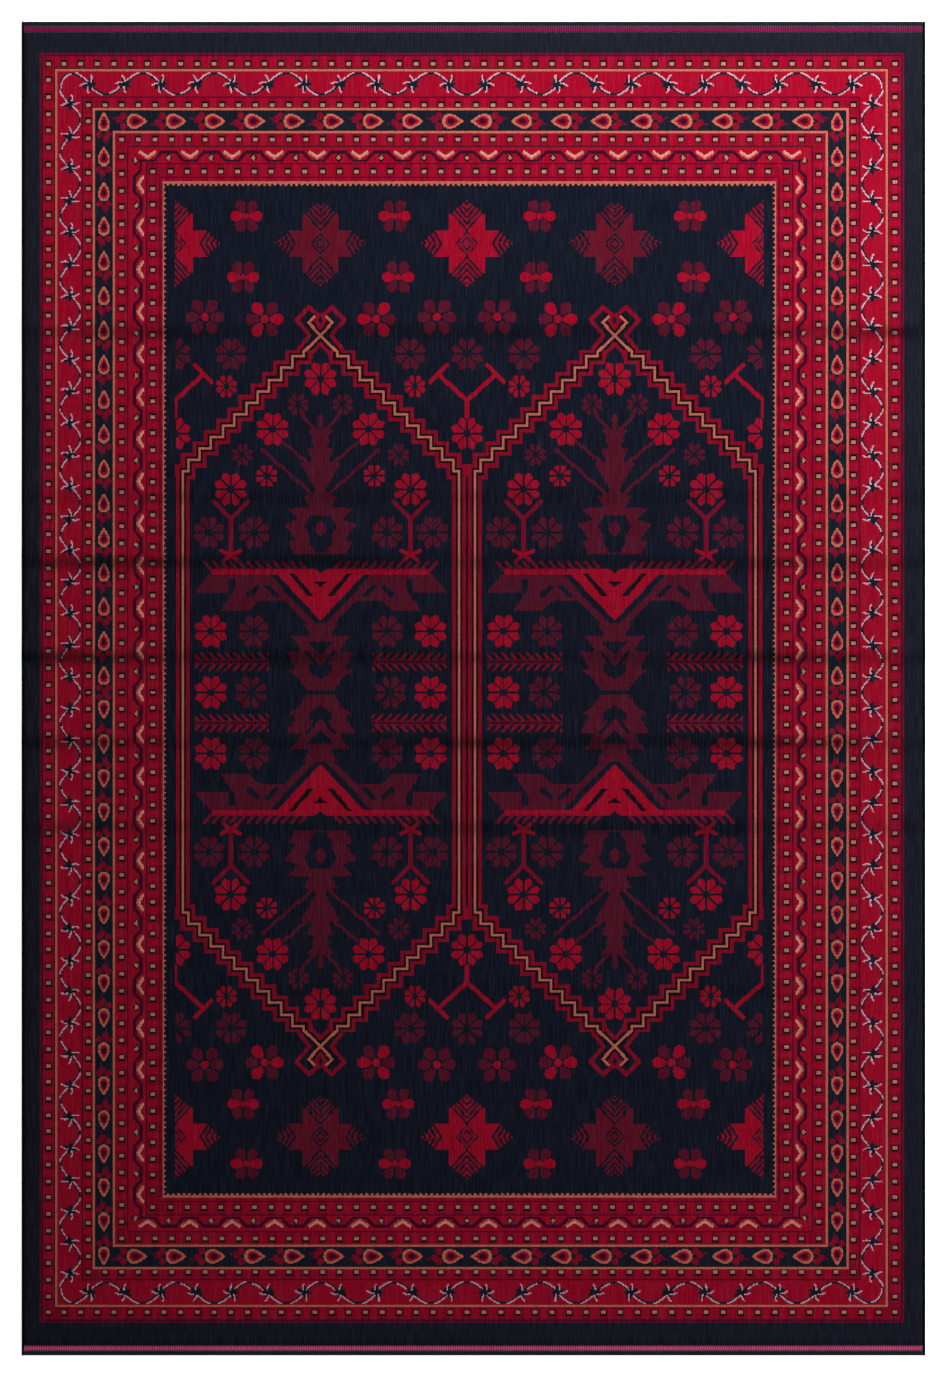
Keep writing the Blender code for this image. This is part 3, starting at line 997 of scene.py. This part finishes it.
def tint(tree, colour, factor):
    """A colour made lighter or darker by a factor."""
    node = wire(tree, "ShaderNodeVectorMath", {0: colour, 3: factor}, operation="SCALE")
    return node.outputs[0]


def noise(tree, vector, scale, detail=2.0):
    node = wire(tree, "ShaderNodeTexNoise", {"Vector": vector, "Scale": scale, "Detail": detail})
    return node.outputs["Fac"]


def stretched(tree, vector, scale):
    node = wire(tree, "ShaderNodeVectorMath", {0: vector, 1: scale}, operation="MULTIPLY")
    return node.outputs[0]


def product(tree, first, *others):
    for other in others:
        first = maths(tree, "MULTIPLY", first, other)
    return first


def varied(tree, value, amount):
    """A factor near 1 from a value between 0 and 1; amount is how far it may stray."""
    return maths(tree, "MULTIPLY_ADD", maths(tree, "SUBTRACT", value, 0.5), amount, 1.0)


def remap(tree, value, low, high, new_low, new_high):
    sockets = {0: value, 1: low, 2: high, 3: new_low, 4: new_high}
    return wire(tree, "ShaderNodeMapRange", sockets).outputs[0]


def blend(tree, share, colour, other):
    """colour where share is 0, other where it is 1."""
    sockets = {0: share, 6: colour, 7: other}
    return wire(tree, "ShaderNodeMix", sockets, data_type="RGBA").outputs[2]


print("node helpers ready")

# %% The wool group
def make_wool_group():
    """Shade of dyed wool: streaks of nap and cloudy dye, with painted shade below old folds, painted
    light and shade from end to end and side to side, and a painted sheen, on the rug's own coordinates.
    """
    inputs = [("Streak", "NodeSocketFloat", 0.16), ("Cloud", "NodeSocketFloat", 0.14)]
    inputs += [("Painted Fold Shade", "NodeSocketFloat", 0.72), ("Grain", "NodeSocketFloat", 1.1)]
    outputs = [("Shade", "NodeSocketFloat"), ("Painted Sheen", "NodeSocketFloat")]
    group, start, finish = new_group("wool_shade", inputs, outputs)
    place = group.nodes.new("ShaderNodeTexCoord").outputs["Object"]
    streak = noise(group, stretched(group, place, (330, 9, 9)), 1.0, 3.0)
    streak = varied(group, streak, start.outputs["Streak"])
    cloud = noise(group, stretched(group, place, (5, 9, 1)), 1.0, 4.0)
    cloud = varied(group, cloud, start.outputs["Cloud"])
    # Painted shade just below each old fold, in patches.
    painted_fold_shade = wire(group, "ShaderNodeAttribute", attribute_name="painted_fold_shade").outputs["Fac"]
    patch = noise(group, stretched(group, place, (3.2, 2, 1)), 1.0, 3.0)
    patch = remap(group, patch, 0.38, 0.62, 0.35, 1.0)
    painted_fold_shade = product(group, painted_fold_shade, patch, start.outputs["Painted Fold Shade"])
    sides = wire(group, "ShaderNodeSeparateXYZ", {0: place})
    # Painted light and shade: lighter towards the right and the head, darker towards the left and the
    # foot.
    painted_side_shade = remap(group, sides.outputs[0], -0.7, 0.8, 0.94, 1.07)
    painted_length_shade = remap(group, sides.outputs[1], 0.15, 1.18, 0.48, 0.66)
    shade = product(group, product(group, streak, cloud), product(group, painted_length_shade, painted_side_shade))
    grain = noise(group, stretched(group, place, (2600, 1500, 900)), 1.0, 3.0)
    grain = varied(group, grain, start.outputs["Grain"])
    shade = product(group, shade, maths(group, "SUBTRACT", 1.0, painted_fold_shade), grain)
    # Thin streaks of painted sheen.
    thin = noise(group, stretched(group, place, (420, 22, 9)), 1.0, 2.0)
    painted_sheen_share = remap(group, thin, 0.42, 0.78, 0.0, 1.0)
    group.links.new(shade, finish.inputs["Shade"])
    group.links.new(painted_sheen_share, finish.inputs["Painted Sheen"])
    return group


wool_group = make_wool_group()

# %% The knot group
def constant_ramp(tree, value):
    """A colour list: each yarn fills one step."""
    node = wire(tree, "ShaderNodeValToRGB", {0: value})
    ramp = node.color_ramp
    ramp.interpolation = "CONSTANT"
    while len(ramp.elements) < len(YARNS):
        ramp.elements.new(0.5)
    for place, colour in enumerate(YARNS.values()):
        ramp.elements[place].position = place / len(YARNS)
        ramp.elements[place].color = linear(colour)
    return node.outputs[0]


RAGGED = 0.75


def make_knot_group():
    """Picks each knot's yarn and gives every tuft a ragged edge, its own tone, a dome, and painted shade
    at its edge.
    """
    outputs = [("Colour", "NodeSocketColor"), ("Dome", "NodeSocketFloat")]
    group, start, finish = new_group("knotted_yarn", [("Tuft", "NodeSocketFloat", 0.26)], outputs)
    spot = wire(group, "ShaderNodeUVMap", uv_map="weave").outputs[0]
    parts = wire(group, "ShaderNodeSeparateXYZ", {0: spot})
    stored = wire(group, "ShaderNodeAttribute", attribute_name="knots")
    yarns = wire(group, "ShaderNodeSeparateColor", {0: stored.outputs["Color"]})
    ragged = []
    for spacing in ((1.9, 2.1, 1), (-2.3, 1.7, 1)):
        wander = noise(group, stretched(group, spot, spacing), 1.0, 2.0)
        ragged.append(product(group, maths(group, "SUBTRACT", wander, 0.5), RAGGED))
    halves = [maths(group, "MODULO", parts.outputs[axis], 2.0) for axis in (0, 1)]
    halves = [maths(group, "SUBTRACT", half, edge) for half, edge in zip(halves, ragged)]
    right, upper_half = [maths(group, "GREATER_THAN", half, 1.0) for half in halves]
    shift = wire(group, "ShaderNodeCombineXYZ", {0: ragged[0], 1: ragged[1]}).outputs[0]
    moved = wire(group, "ShaderNodeVectorMath", {0: spot, 1: shift}, operation="SUBTRACT")
    spot = moved.outputs[0]
    parts = wire(group, "ShaderNodeSeparateXYZ", {0: spot})
    low = pick(group, right, yarns.outputs[0], yarns.outputs[1])
    high = pick(group, right, yarns.outputs[2], stored.outputs["Alpha"])
    colour = constant_ramp(group, pick(group, upper_half, low, high))
    cell = wire(group, "ShaderNodeVectorMath", {0: spot}, operation="FLOOR").outputs[0]
    luck = wire(group, "ShaderNodeTexWhiteNoise", {0: cell}, noise_dimensions="2D").outputs[0]
    tone = varied(group, luck, start.outputs["Tuft"])
    squares = []
    for axis in (0, 1):
        place = maths(group, "SUBTRACT", maths(group, "FRACT", parts.outputs[axis]), 0.5)
        away = maths(group, "ABSOLUTE", place)
        squares.append(product(group, away, away))
    fall = product(group, maths(group, "ADD", *squares), 2.4)
    dome = maths(group, "SUBTRACT", maths(group, "MULTIPLY_ADD", luck, 0.3, 1.0), fall)
    # Painted shade: each tuft's colour is darkened towards its edge, where the gaps between tufts fall
    # into shade.
    gap = remap(group, dome, 0.1, 0.8, 0.55, 1.04)
    group.links.new(tint(group, colour, product(group, tone, gap)), finish.inputs["Colour"])
    group.links.new(dome, finish.inputs["Dome"])
    return group


knot_group = make_knot_group()
print("yarn steps in the colour list:", len(YARNS))

# %% The cut pile material
def new_material(name, roughness, sheen=0.0):
    material = bpy.data.materials.new(name)
    material.use_nodes = True
    shader = material.node_tree.nodes["Principled BSDF"]
    shader.inputs["Roughness"].default_value = roughness
    shader.inputs["Specular IOR Level"].default_value = 0.05
    shader.inputs["Sheen Weight"].default_value = sheen
    shader.inputs["Sheen Roughness"].default_value = 0.6
    return material, material.node_tree, shader


def add_group(tree, group, **values):
    node = tree.nodes.new("ShaderNodeGroup")
    node.node_tree = group
    for key, value in values.items():
        node.inputs[key].default_value = value
    return node


def add_bump(tree, shader, height, distance, strength):
    inputs = {"Height": height, "Distance": distance, "Strength": strength}
    bump = wire(tree, "ShaderNodeBump", inputs)
    tree.links.new(bump.outputs[0], shader.inputs["Normal"])


# Colour of the painted sheen.
PAINTED_SHEEN_COLOUR = (0.007, 0.008, 0.013)


def make_cut_pile():
    material, tree, shader = new_material("cut_pile", 1.0)
    knots = add_group(tree, knot_group)
    wool = add_group(tree, wool_group)
    # The yarn colour times the wool shade, which holds painted light and shade.
    yarn_with_painted_shade = tint(tree, knots.outputs["Colour"], wool.outputs["Shade"])
    # A bluish painted sheen is added on top of the yarn colour in thin streaks.
    painted_sheen = tint(tree, PAINTED_SHEEN_COLOUR, wool.outputs["Painted Sheen"])
    both = wire(tree, "ShaderNodeVectorMath", {0: yarn_with_painted_shade, 1: painted_sheen}, operation="ADD").outputs[0]
    tree.links.new(both, shader.inputs["Base Color"])
    place = tree.nodes.new("ShaderNodeTexCoord").outputs["Object"]
    fibres = noise(tree, place, 1600.0, 2.0)
    height = maths(tree, "MULTIPLY_ADD", fibres, 0.5, knots.outputs["Dome"])
    add_bump(tree, shader, height, 0.0007, 0.55)
    return material


cut_pile = make_cut_pile()
print("made", cut_pile.name)


def put_in_place(piece, node, material):
    """Gives a finished piece its material, hangs it on the root body and hides the measured piece it
    stands for.
    """
    piece.data.materials.append(material)
    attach(piece, "root")
    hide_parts(node)
    return piece

# %% [markdown]
# ## The pile
# Each band or panel of the design is one piece of pile, where the measured model has it. The tufts'
# tips are never level, so every corner of the fine grid is nudged up or down a little, except where two
# pieces of pile meet. Where the pile ends at an edge of the rug, its last tufts lean over and round it.

# %% Tie the knots
TIP_UNEVEN = 0.00022
EDGE_DROP = (0.0030, 0.0009, 0.0002)
LEAN_IN = 0.00012


def free_edge_drop(columns, rows):
    """How far the pile falls near the rug's own edges."""
    drop = np.zeros((len(rows), len(columns)))
    for place, fall in enumerate(EDGE_DROP):
        if columns[0] == 0:
            drop[:, place] = np.maximum(drop[:, place], fall)
        if columns[-1] == PILE_COLUMNS:
            drop[:, -1 - place] = np.maximum(drop[:, -1 - place], fall)
        if rows[0] == 0:
            drop[place, :] = np.maximum(drop[place, :], fall)
        if rows[-1] == PILE_ROWS:
            drop[-1 - place, :] = np.maximum(drop[-1 - place, :], fall)
    return drop


def tie_pile(node):
    """One closed piece of pile with its knots, in a CAD piece's place."""
    column_start, column_stop, row_start, row_stop = knot_lines(node)
    columns, rows = grid_lines(column_start, column_stop), grid_lines(row_start, row_stop)
    x, y = np.meshgrid(PILE_LEFT + columns * KNOT, PILE_FOOT + rows * KNOT)
    top = PILE_TOP - free_edge_drop(columns, rows)
    nudge = dice.uniform(-TIP_UNEVEN, TIP_UNEVEN, top.shape)
    nudge[[0, -1], :] = 0
    nudge[:, [0, -1]] = 0
    top = top + nudge
    fine = np.column_stack((x.ravel(), y.ravel(), top.ravel()))
    ends = x[0, 0] + LEAN_IN, x[0, -1] - LEAN_IN
    low_y = np.clip(y[:, 0], y[0, 0] + LEAN_IN, y[-1, 0] - LEAN_IN)
    hidden = [(end, row, PILE_BOTTOM) for row in low_y for end in ends]
    quads, rest = sheet_faces(len(columns) - 1, len(rows) - 1, up=True)
    points = lay(np.concatenate([fine, np.array(hidden)]))
    piece = mesh_from("tufts_" + node, points, quads, rest)
    weave_map(piece, quads, columns - column_start, rows - row_start)
    set_knots(piece, knots_on_faces(columns, rows), len(rest))
    # The painted shade below the old folds rides on the points.
    keep_point_value(piece, "painted_fold_shade", fold_shade(points[:, 1]))
    return put_in_place(piece, node, cut_pile)


pile_nodes = [f"{band}_{side}" for band in ["pile_margin"] + BANDS for side in SIDES]
pile_nodes += ["star_panel_head", "star_panel_foot"]
pile_nodes += [f"medallion_{end}_{side}" for end in ("head", "foot") for side in ("left", "right")]
for node in pile_nodes:
    tie_pile(node)

# %% [markdown]
# ## The ground weave
# Under the pile, warps and wefts hold every knot. On the back each knot shows as a small bump in its own
# colour, so the design can be read there too, in reverse and duller, through a thin coat of size.

# %% The back of the rug
BACK_FACE = 4


def make_back_material():
    """Yarn colours dulled by size, ribbed by the warps and wefts."""
    material, tree, shader = new_material("sized_ground_weave", 0.9)
    knots = add_group(tree, knot_group, Tuft=0.2)
    place = tree.nodes.new("ShaderNodeTexCoord").outputs["Object"]
    threads = []
    for direction, distortion in (("X", 0.6), ("Y", 0.8)):
        sockets = {"Vector": place, "Scale": 157.0, "Distortion": distortion}
        wave = wire(tree, "ShaderNodeTexWave", sockets, bands_direction=direction)
        threads.append(wave.outputs["Fac"])
    weave = product(tree, *threads)
    size_coat = linear((148, 128, 110))
    share = maths(tree, "MULTIPLY_ADD", weave, -0.28, 0.40)
    coated = blend(tree, share, knots.outputs["Colour"], size_coat)
    tree.links.new(coated, shader.inputs["Base Color"])
    add_bump(tree, shader, weave, 0.0006, 0.8)
    return material


def weave_ground():
    low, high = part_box("ground_weave")
    columns, rows = grid_lines(0, PILE_COLUMNS, BACK_FACE), grid_lines(0, PILE_ROWS, BACK_FACE)
    wide = np.interp(columns, [0, PILE_COLUMNS], [low[0], high[0]])
    long_way = np.interp(rows, [0, PILE_ROWS], [low[1], high[1]])
    x, y = np.meshgrid(wide, long_way)
    fine = np.column_stack((x.ravel(), y.ravel(), np.full(x.size, low[2])))
    hidden = [(end, row, high[2]) for row in long_way for end in (low[0], high[0])]
    quads, rest = sheet_faces(len(columns) - 1, len(rows) - 1, up=False)
    points = lay(np.concatenate([fine, np.array(hidden)]))
    piece = mesh_from("ground_weave_sheet", points, quads, rest)
    weave_map(piece, quads, columns / 2, rows / 2)
    set_knots(piece, knots_on_faces(columns, rows, apart=2), len(rest))
    return piece


ground = put_in_place(weave_ground(), "ground_weave", make_back_material())
print("back faces:", len(ground.data.polygons))

# %% [markdown]
# ## Plain yarn materials
# The cord, the overcasting, the flat ends, the stripe and the thread are all yarn with no pattern.
# They share one group that gives ribs, twist and uneven dye, each with its own colours and spacing. The
# grooves between ribs are painted darker than the crests, as painted shade.

# %% Ribbed yarn
def make_yarn_group():
    inputs = [("Light", "NodeSocketColor", None), ("Dark", "NodeSocketColor", None)]
    inputs += [("Spacing", "NodeSocketVector", None)]
    outputs = [("Colour", "NodeSocketColor"), ("Rib", "NodeSocketFloat")]
    group, start, finish = new_group("ribbed_yarn", inputs, outputs)
    place = group.nodes.new("ShaderNodeTexCoord").outputs["Object"]
    turned = stretched(group, place, start.outputs["Spacing"])
    parts = wire(group, "ShaderNodeSeparateXYZ", {0: turned})
    total = maths(group, "ADD", parts.outputs[1], parts.outputs[2])
    total = maths(group, "ADD", parts.outputs[0], total)
    rib = maths(group, "ABSOLUTE", maths(group, "SINE", total))
    uneven = noise(group, place, 420.0, 3.0)
    cloud = noise(group, place, 14.0, 3.0)
    uneven = maths(group, "MULTIPLY_ADD", uneven, 0.9, product(group, cloud, 0.6))
    share = product(group, rib, uneven)
    # Grooves take the Dark colour and crests the Light one: painted shade in the grooves, mixed with
    # uneven dye.
    colour = blend(group, share, start.outputs["Dark"], start.outputs["Light"])
    group.links.new(colour, finish.inputs["Colour"])
    group.links.new(rib, finish.inputs["Rib"])
    return group


yarn_group = make_yarn_group()


def make_yarn(name, light, dark, spacing, sheen=0.0, depth=0.0004, shine=0.05):
    """spacing counts ribs per metre along x, y and z."""
    material, tree, shader = new_material(name, 0.85, sheen)
    shader.inputs["Specular IOR Level"].default_value = shine
    turns = tuple(math.pi * s for s in spacing)
    yarn = add_group(tree, yarn_group, Light=linear(light), Dark=linear(dark), Spacing=turns)
    tree.links.new(yarn.outputs["Colour"], shader.inputs["Base Color"])
    add_bump(tree, shader, yarn.outputs["Rib"], depth, 0.7)
    return material


overcast_yarn = make_yarn("overcast_yarn", (14, 15, 22), (4, 4, 7), (0, 480, 160), shine=0.0)
cord_cotton = make_yarn("cord_cotton", (150, 138, 118), (92, 82, 68), (0, 160, 160), sheen=0.05)
flat_cloth = make_yarn("flatweave_cloth", (36, 38, 50), (13, 14, 21), (500, 0, 0))
magenta_weft = make_yarn("magenta_weft", (222, 88, 138), (104, 14, 54), (250, 0, 0))
wine_weft = make_yarn("wine_weft", (142, 28, 74), (58, 9, 34), (250, 0, 0))
thread_colours = ((142, 128, 150), (84, 76, 96))
hem_thread = make_yarn("hem_thread", *thread_colours, (900, 300, 0), sheen=0.05, depth=0.0002)
print("yarn materials ready")

# %% [markdown]
# ## Side edges
# Each side is a cotton cord sewn to the last warps and wrapped closely with navy yarn. The wraps are
# rings that swell and pinch, made as a tube whose radius rises and falls along its length.

# %% Cord and overcasting
RINGS_PER_WRAP = 2


def tube_faces(rings, corners):
    """Faces between the rings of a tube, then its two ends."""
    index = np.arange(rings * corners).reshape(rings, corners)
    after = np.roll(index, -1, axis=1)
    quads = np.stack([index[:-1], index[1:], after[1:], after[:-1]], axis=-1).reshape(-1, 4)
    return quads, [list(index[0]), list(index[-1][::-1])]


def ribbed_rod(name, node, pitch, sides, swell, sink=0.0):
    """A closed rod along y with rounded ends whose radius swells once for every wrap.

    sink moves the rod towards the cloth, so that wraps bite into its edge and leave no slit.
    """
    low, high = (np.array(corner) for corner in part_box(node))
    centre, radius = (low + high) / 2, (high[0] - low[0]) / 2
    centre[0] -= math.copysign(sink, centre[0])
    rings = int((high[1] - low[1]) / pitch * RINGS_PER_WRAP)
    y = np.linspace(low[1], high[1], rings + 1)
    size = radius - swell * (np.arange(rings + 1) % RINGS_PER_WRAP == 0)
    size[0] = size[-1] = radius * 0.55
    turn = np.linspace(0, math.tau, sides, endpoint=False)
    x = centre[0] + size[:, None] * np.cos(turn)[None, :]
    z = centre[2] + size[:, None] * np.sin(turn)[None, :]
    points = np.column_stack((x.ravel(), np.repeat(y, sides), z.ravel()))
    return mesh_from(name, lay(points), *tube_faces(rings + 1, sides))


for side in ("left", "right"):
    node = "selvedge_cord_" + side
    cord = ribbed_rod("cord_" + side, node, 0.006, 8, 0.0002)
    put_in_place(cord, node, cord_cotton)
    node = "overcast_edge_" + side
    wraps = ribbed_rod("wraps_" + side, node, 0.0030, 12, 0.00035, sink=0.00045)
    put_in_place(wraps, node, overcast_yarn)

# %% [markdown]
# ## Flat ends
# Past the last knots the ground goes on as plain cloth, turned under and sewn down. It is one strip of
# cloth with a fold, so it is swept from a J-shaped outline. Its ribs follow the warps.

# %% Turned hem
CLOTH = 0.0014
FOLD_OUTER = (2 * CLOTH + PIECE_GAP) / 2
CLOTH_RIB, STRIPE_RIB, RIB_STEP = 0.00010, 0.00016, 0.002
HEM_SHORT = 0.004
ENDS = (("head", 1), ("foot", -1))


def hem_outline(depth, hem_depth):
    """The J in (distance in from the rug's end, height), anticlockwise seen with the end on the left."""
    def arc(radius, steps, start, stop):
        return [(FOLD_OUTER - radius * math.cos(t), FOLD_OUTER + radius * math.sin(t))
                for t in np.linspace(start, stop, steps)]
    outside = arc(FOLD_OUTER, 9, math.pi / 2, -math.pi / 2)
    gap_side = arc(PIECE_GAP / 2, 5, -math.pi / 2, math.pi / 2)
    top = [(d, 2 * FOLD_OUTER) for d in np.linspace(depth, FOLD_OUTER, 5)[:-1]]
    turned = [(hem_depth, 0.0), (hem_depth, CLOTH)]
    return top + outside + turned + gap_side + [(depth, 2 * FOLD_OUTER - CLOTH)]


def sweep_along_x(name, outline, end, x_low, x_high, rib):
    """outline is (distance in, height) points; end is +1 for the head and -1 for the foot."""
    count = int((x_high - x_low) / RIB_STEP)
    x = np.linspace(x_low, x_high, count + 1)
    profile = np.array(outline)
    away = profile - profile.mean(axis=0)
    away = away / np.maximum(np.linalg.norm(away, axis=1, keepdims=True), 1e-9)
    points = []
    for place, across in enumerate(x):
        ring_points = profile - away * rib * (place % 2)
        y = end * (rug_half_long - ring_points[:, 0])
        points.append(np.column_stack((np.full(len(y), across), y, ring_points[:, 1])))
    quads, rest = tube_faces(count + 1, len(outline))
    if end < 0:
        quads, rest = quads[:, ::-1], [face[::-1] for face in rest]
    return mesh_from(name, lay(np.concatenate(points)), quads, rest)


for end_name, end in ENDS:
    node = "flatweave_end_" + end_name
    low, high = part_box(node)
    outline = hem_outline(high[1] - low[1], high[1] - low[1] - HEM_SHORT)
    cloth = sweep_along_x("turned_hem_" + end_name, outline, end, low[0], high[0], CLOTH_RIB)
    put_in_place(cloth, node, flat_cloth)

# %% [markdown]
# A magenta stripe is woven into each flat end, darker at the head than at the foot. Its wefts stand a
# little proud, in small even bumps.

# %% Magenta stripe
def stripe_outline(node, end):
    low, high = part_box(node)
    near = rug_half_long - (high[1] if end > 0 else -low[1])
    wide, tall, base = high[1] - low[1], high[2] - low[2], low[2]
    crown = [(near + wide * (1 - t), base + tall * (0.45 + 0.55 * math.sin(math.pi * t) ** 0.6))
             for t in np.linspace(0, 1, 9)]
    return crown + [(near, base), (near + wide, base)]


for end_name, end in ENDS:
    node = "weft_stripe_" + end_name
    low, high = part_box(node)
    outline = stripe_outline(node, end)
    stripe = sweep_along_x("stripe_" + end_name, outline, end, low[0], high[0], STRIPE_RIB)
    weft = wine_weft if end > 0 else magenta_weft
    put_in_place(stripe, node, weft)

# %% [markdown]
# ## Hem stitches
# A machine row of pale stitches runs on each side of the stripe. One stitch is modelled as a small
# rounded bar, and an array repeats it along the seam.

# %% One stitch, repeated
STITCH_PITCH, STITCH_LONG, STITCH_ROUND = 0.0040, 0.0027, 0.00022


def sew(name, node):
    low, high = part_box(node)
    count = int((high[0] - low[0] - STITCH_LONG) / STITCH_PITCH) + 1
    bpy.ops.object.select_all(action="DESELECT")
    middle_y, middle_z = (low[1] + high[1]) / 2, (low[2] + high[2]) / 2
    start = (low[0] + STITCH_LONG / 2, middle_y, middle_z)
    size = (STITCH_LONG, high[1] - low[1], high[2] - low[2])
    bpy.ops.mesh.primitive_cube_add(size=1.0, location=start, scale=size)
    piece = bpy.context.object
    piece.name = name
    bpy.ops.object.transform_apply(location=True, rotation=True, scale=True)
    bpy.ops.object.mode_set(mode="EDIT")
    bpy.ops.mesh.select_all(action="SELECT")
    bpy.ops.mesh.bevel(offset=STITCH_ROUND, segments=1)
    bpy.ops.object.mode_set(mode="OBJECT")
    array = piece.modifiers.new("row", "ARRAY")
    array.use_relative_offset = False
    array.use_constant_offset = True
    array.constant_offset_displace = (STITCH_PITCH, 0, 0)
    array.count = count
    bpy.ops.object.modifier_apply(modifier="row")
    points = np.empty(len(piece.data.vertices) * 3)
    piece.data.vertices.foreach_get("co", points)
    piece.data.vertices.foreach_set("co", lay(points.reshape(-1, 3)).ravel())
    bpy.ops.object.shade_smooth()
    return piece


for end_name, _ in ENDS:
    for row in ("outer", "inner"):
        node = f"hem_seam_{row}_{end_name}"
        seam = sew(f"stitches_{row}_{end_name}", node)
        put_in_place(seam, node, hem_thread)

# %% [markdown]
# The rug is one sheet of cloth laid on the floor. Its ground weave is the sheet, and everything else is
# fixed to it.

# %% Floor
bpy.ops.object.select_all(action="DESELECT")
bpy.ops.mesh.primitive_plane_add(size=30, location=(0, 0, -0.0004))
floor = bpy.context.object
floor.name = "floor"
floor_material, _, floor_shader = new_material("pale_floor", 0.95)
floor_shader.inputs["Base Color"].default_value = (0.86, 0.86, 0.86, 1)
floor_shader.inputs["Emission Color"].default_value = (1, 1, 1, 1)
floor_shader.inputs["Emission Strength"].default_value = 0.75
floor.data.materials.append(floor_material)

# %% [markdown]
# ## Camera and light
# The rug is seen from straight above. A long lens keeps its sides square. A wide soft lamp stands over
# the head end, so the tone falls off gently towards the foot, and a weaker one fills from the right.

# %% Camera
FRAME_TALL = 2.437
LENS, SENSOR = 100, 36
camera_data = bpy.data.cameras.new("overhead")
camera = bpy.data.objects.new("overhead", camera_data)
bpy.context.collection.objects.link(camera)
camera_data.lens = LENS
camera_data.sensor_width = SENSOR
camera_height = FRAME_TALL * LENS / SENSOR
camera.location = (0, 0, camera_height)
camera_data.clip_end = 100
bpy.context.scene.camera = camera
print("camera height, metres:", round(camera_height, 3))

# %% Lamps
def soft_lamp(name, place, target, size, watts):
    data = bpy.data.lights.new(name, "AREA")
    data.shape = "DISK"
    data.size = size
    data.energy = watts
    lamp = bpy.data.objects.new(name, data)
    bpy.context.collection.objects.link(lamp)
    lamp.location = place
    aim = Vector(target) - Vector(place)
    lamp.rotation_mode = "QUATERNION"
    lamp.rotation_quaternion = aim.to_track_quat("-Z", "Y")


soft_lamp("head_lamp", (0.9, 2.4, 2.6), (0.0, 0.5, 0), 2.2, 121)
soft_lamp("fill_lamp", (2.8, -0.3, 2.9), (0.3, 0, 0), 2.4, 90)
world = bpy.data.worlds.new("studio")
bpy.context.scene.world = world
world.use_nodes = True
backdrop = world.node_tree.nodes["Background"]
backdrop.inputs["Color"].default_value = (1, 1, 1, 1)
backdrop.inputs["Strength"].default_value = 0.16
bpy.context.scene.view_settings.view_transform = "Standard"
print("lamps set")
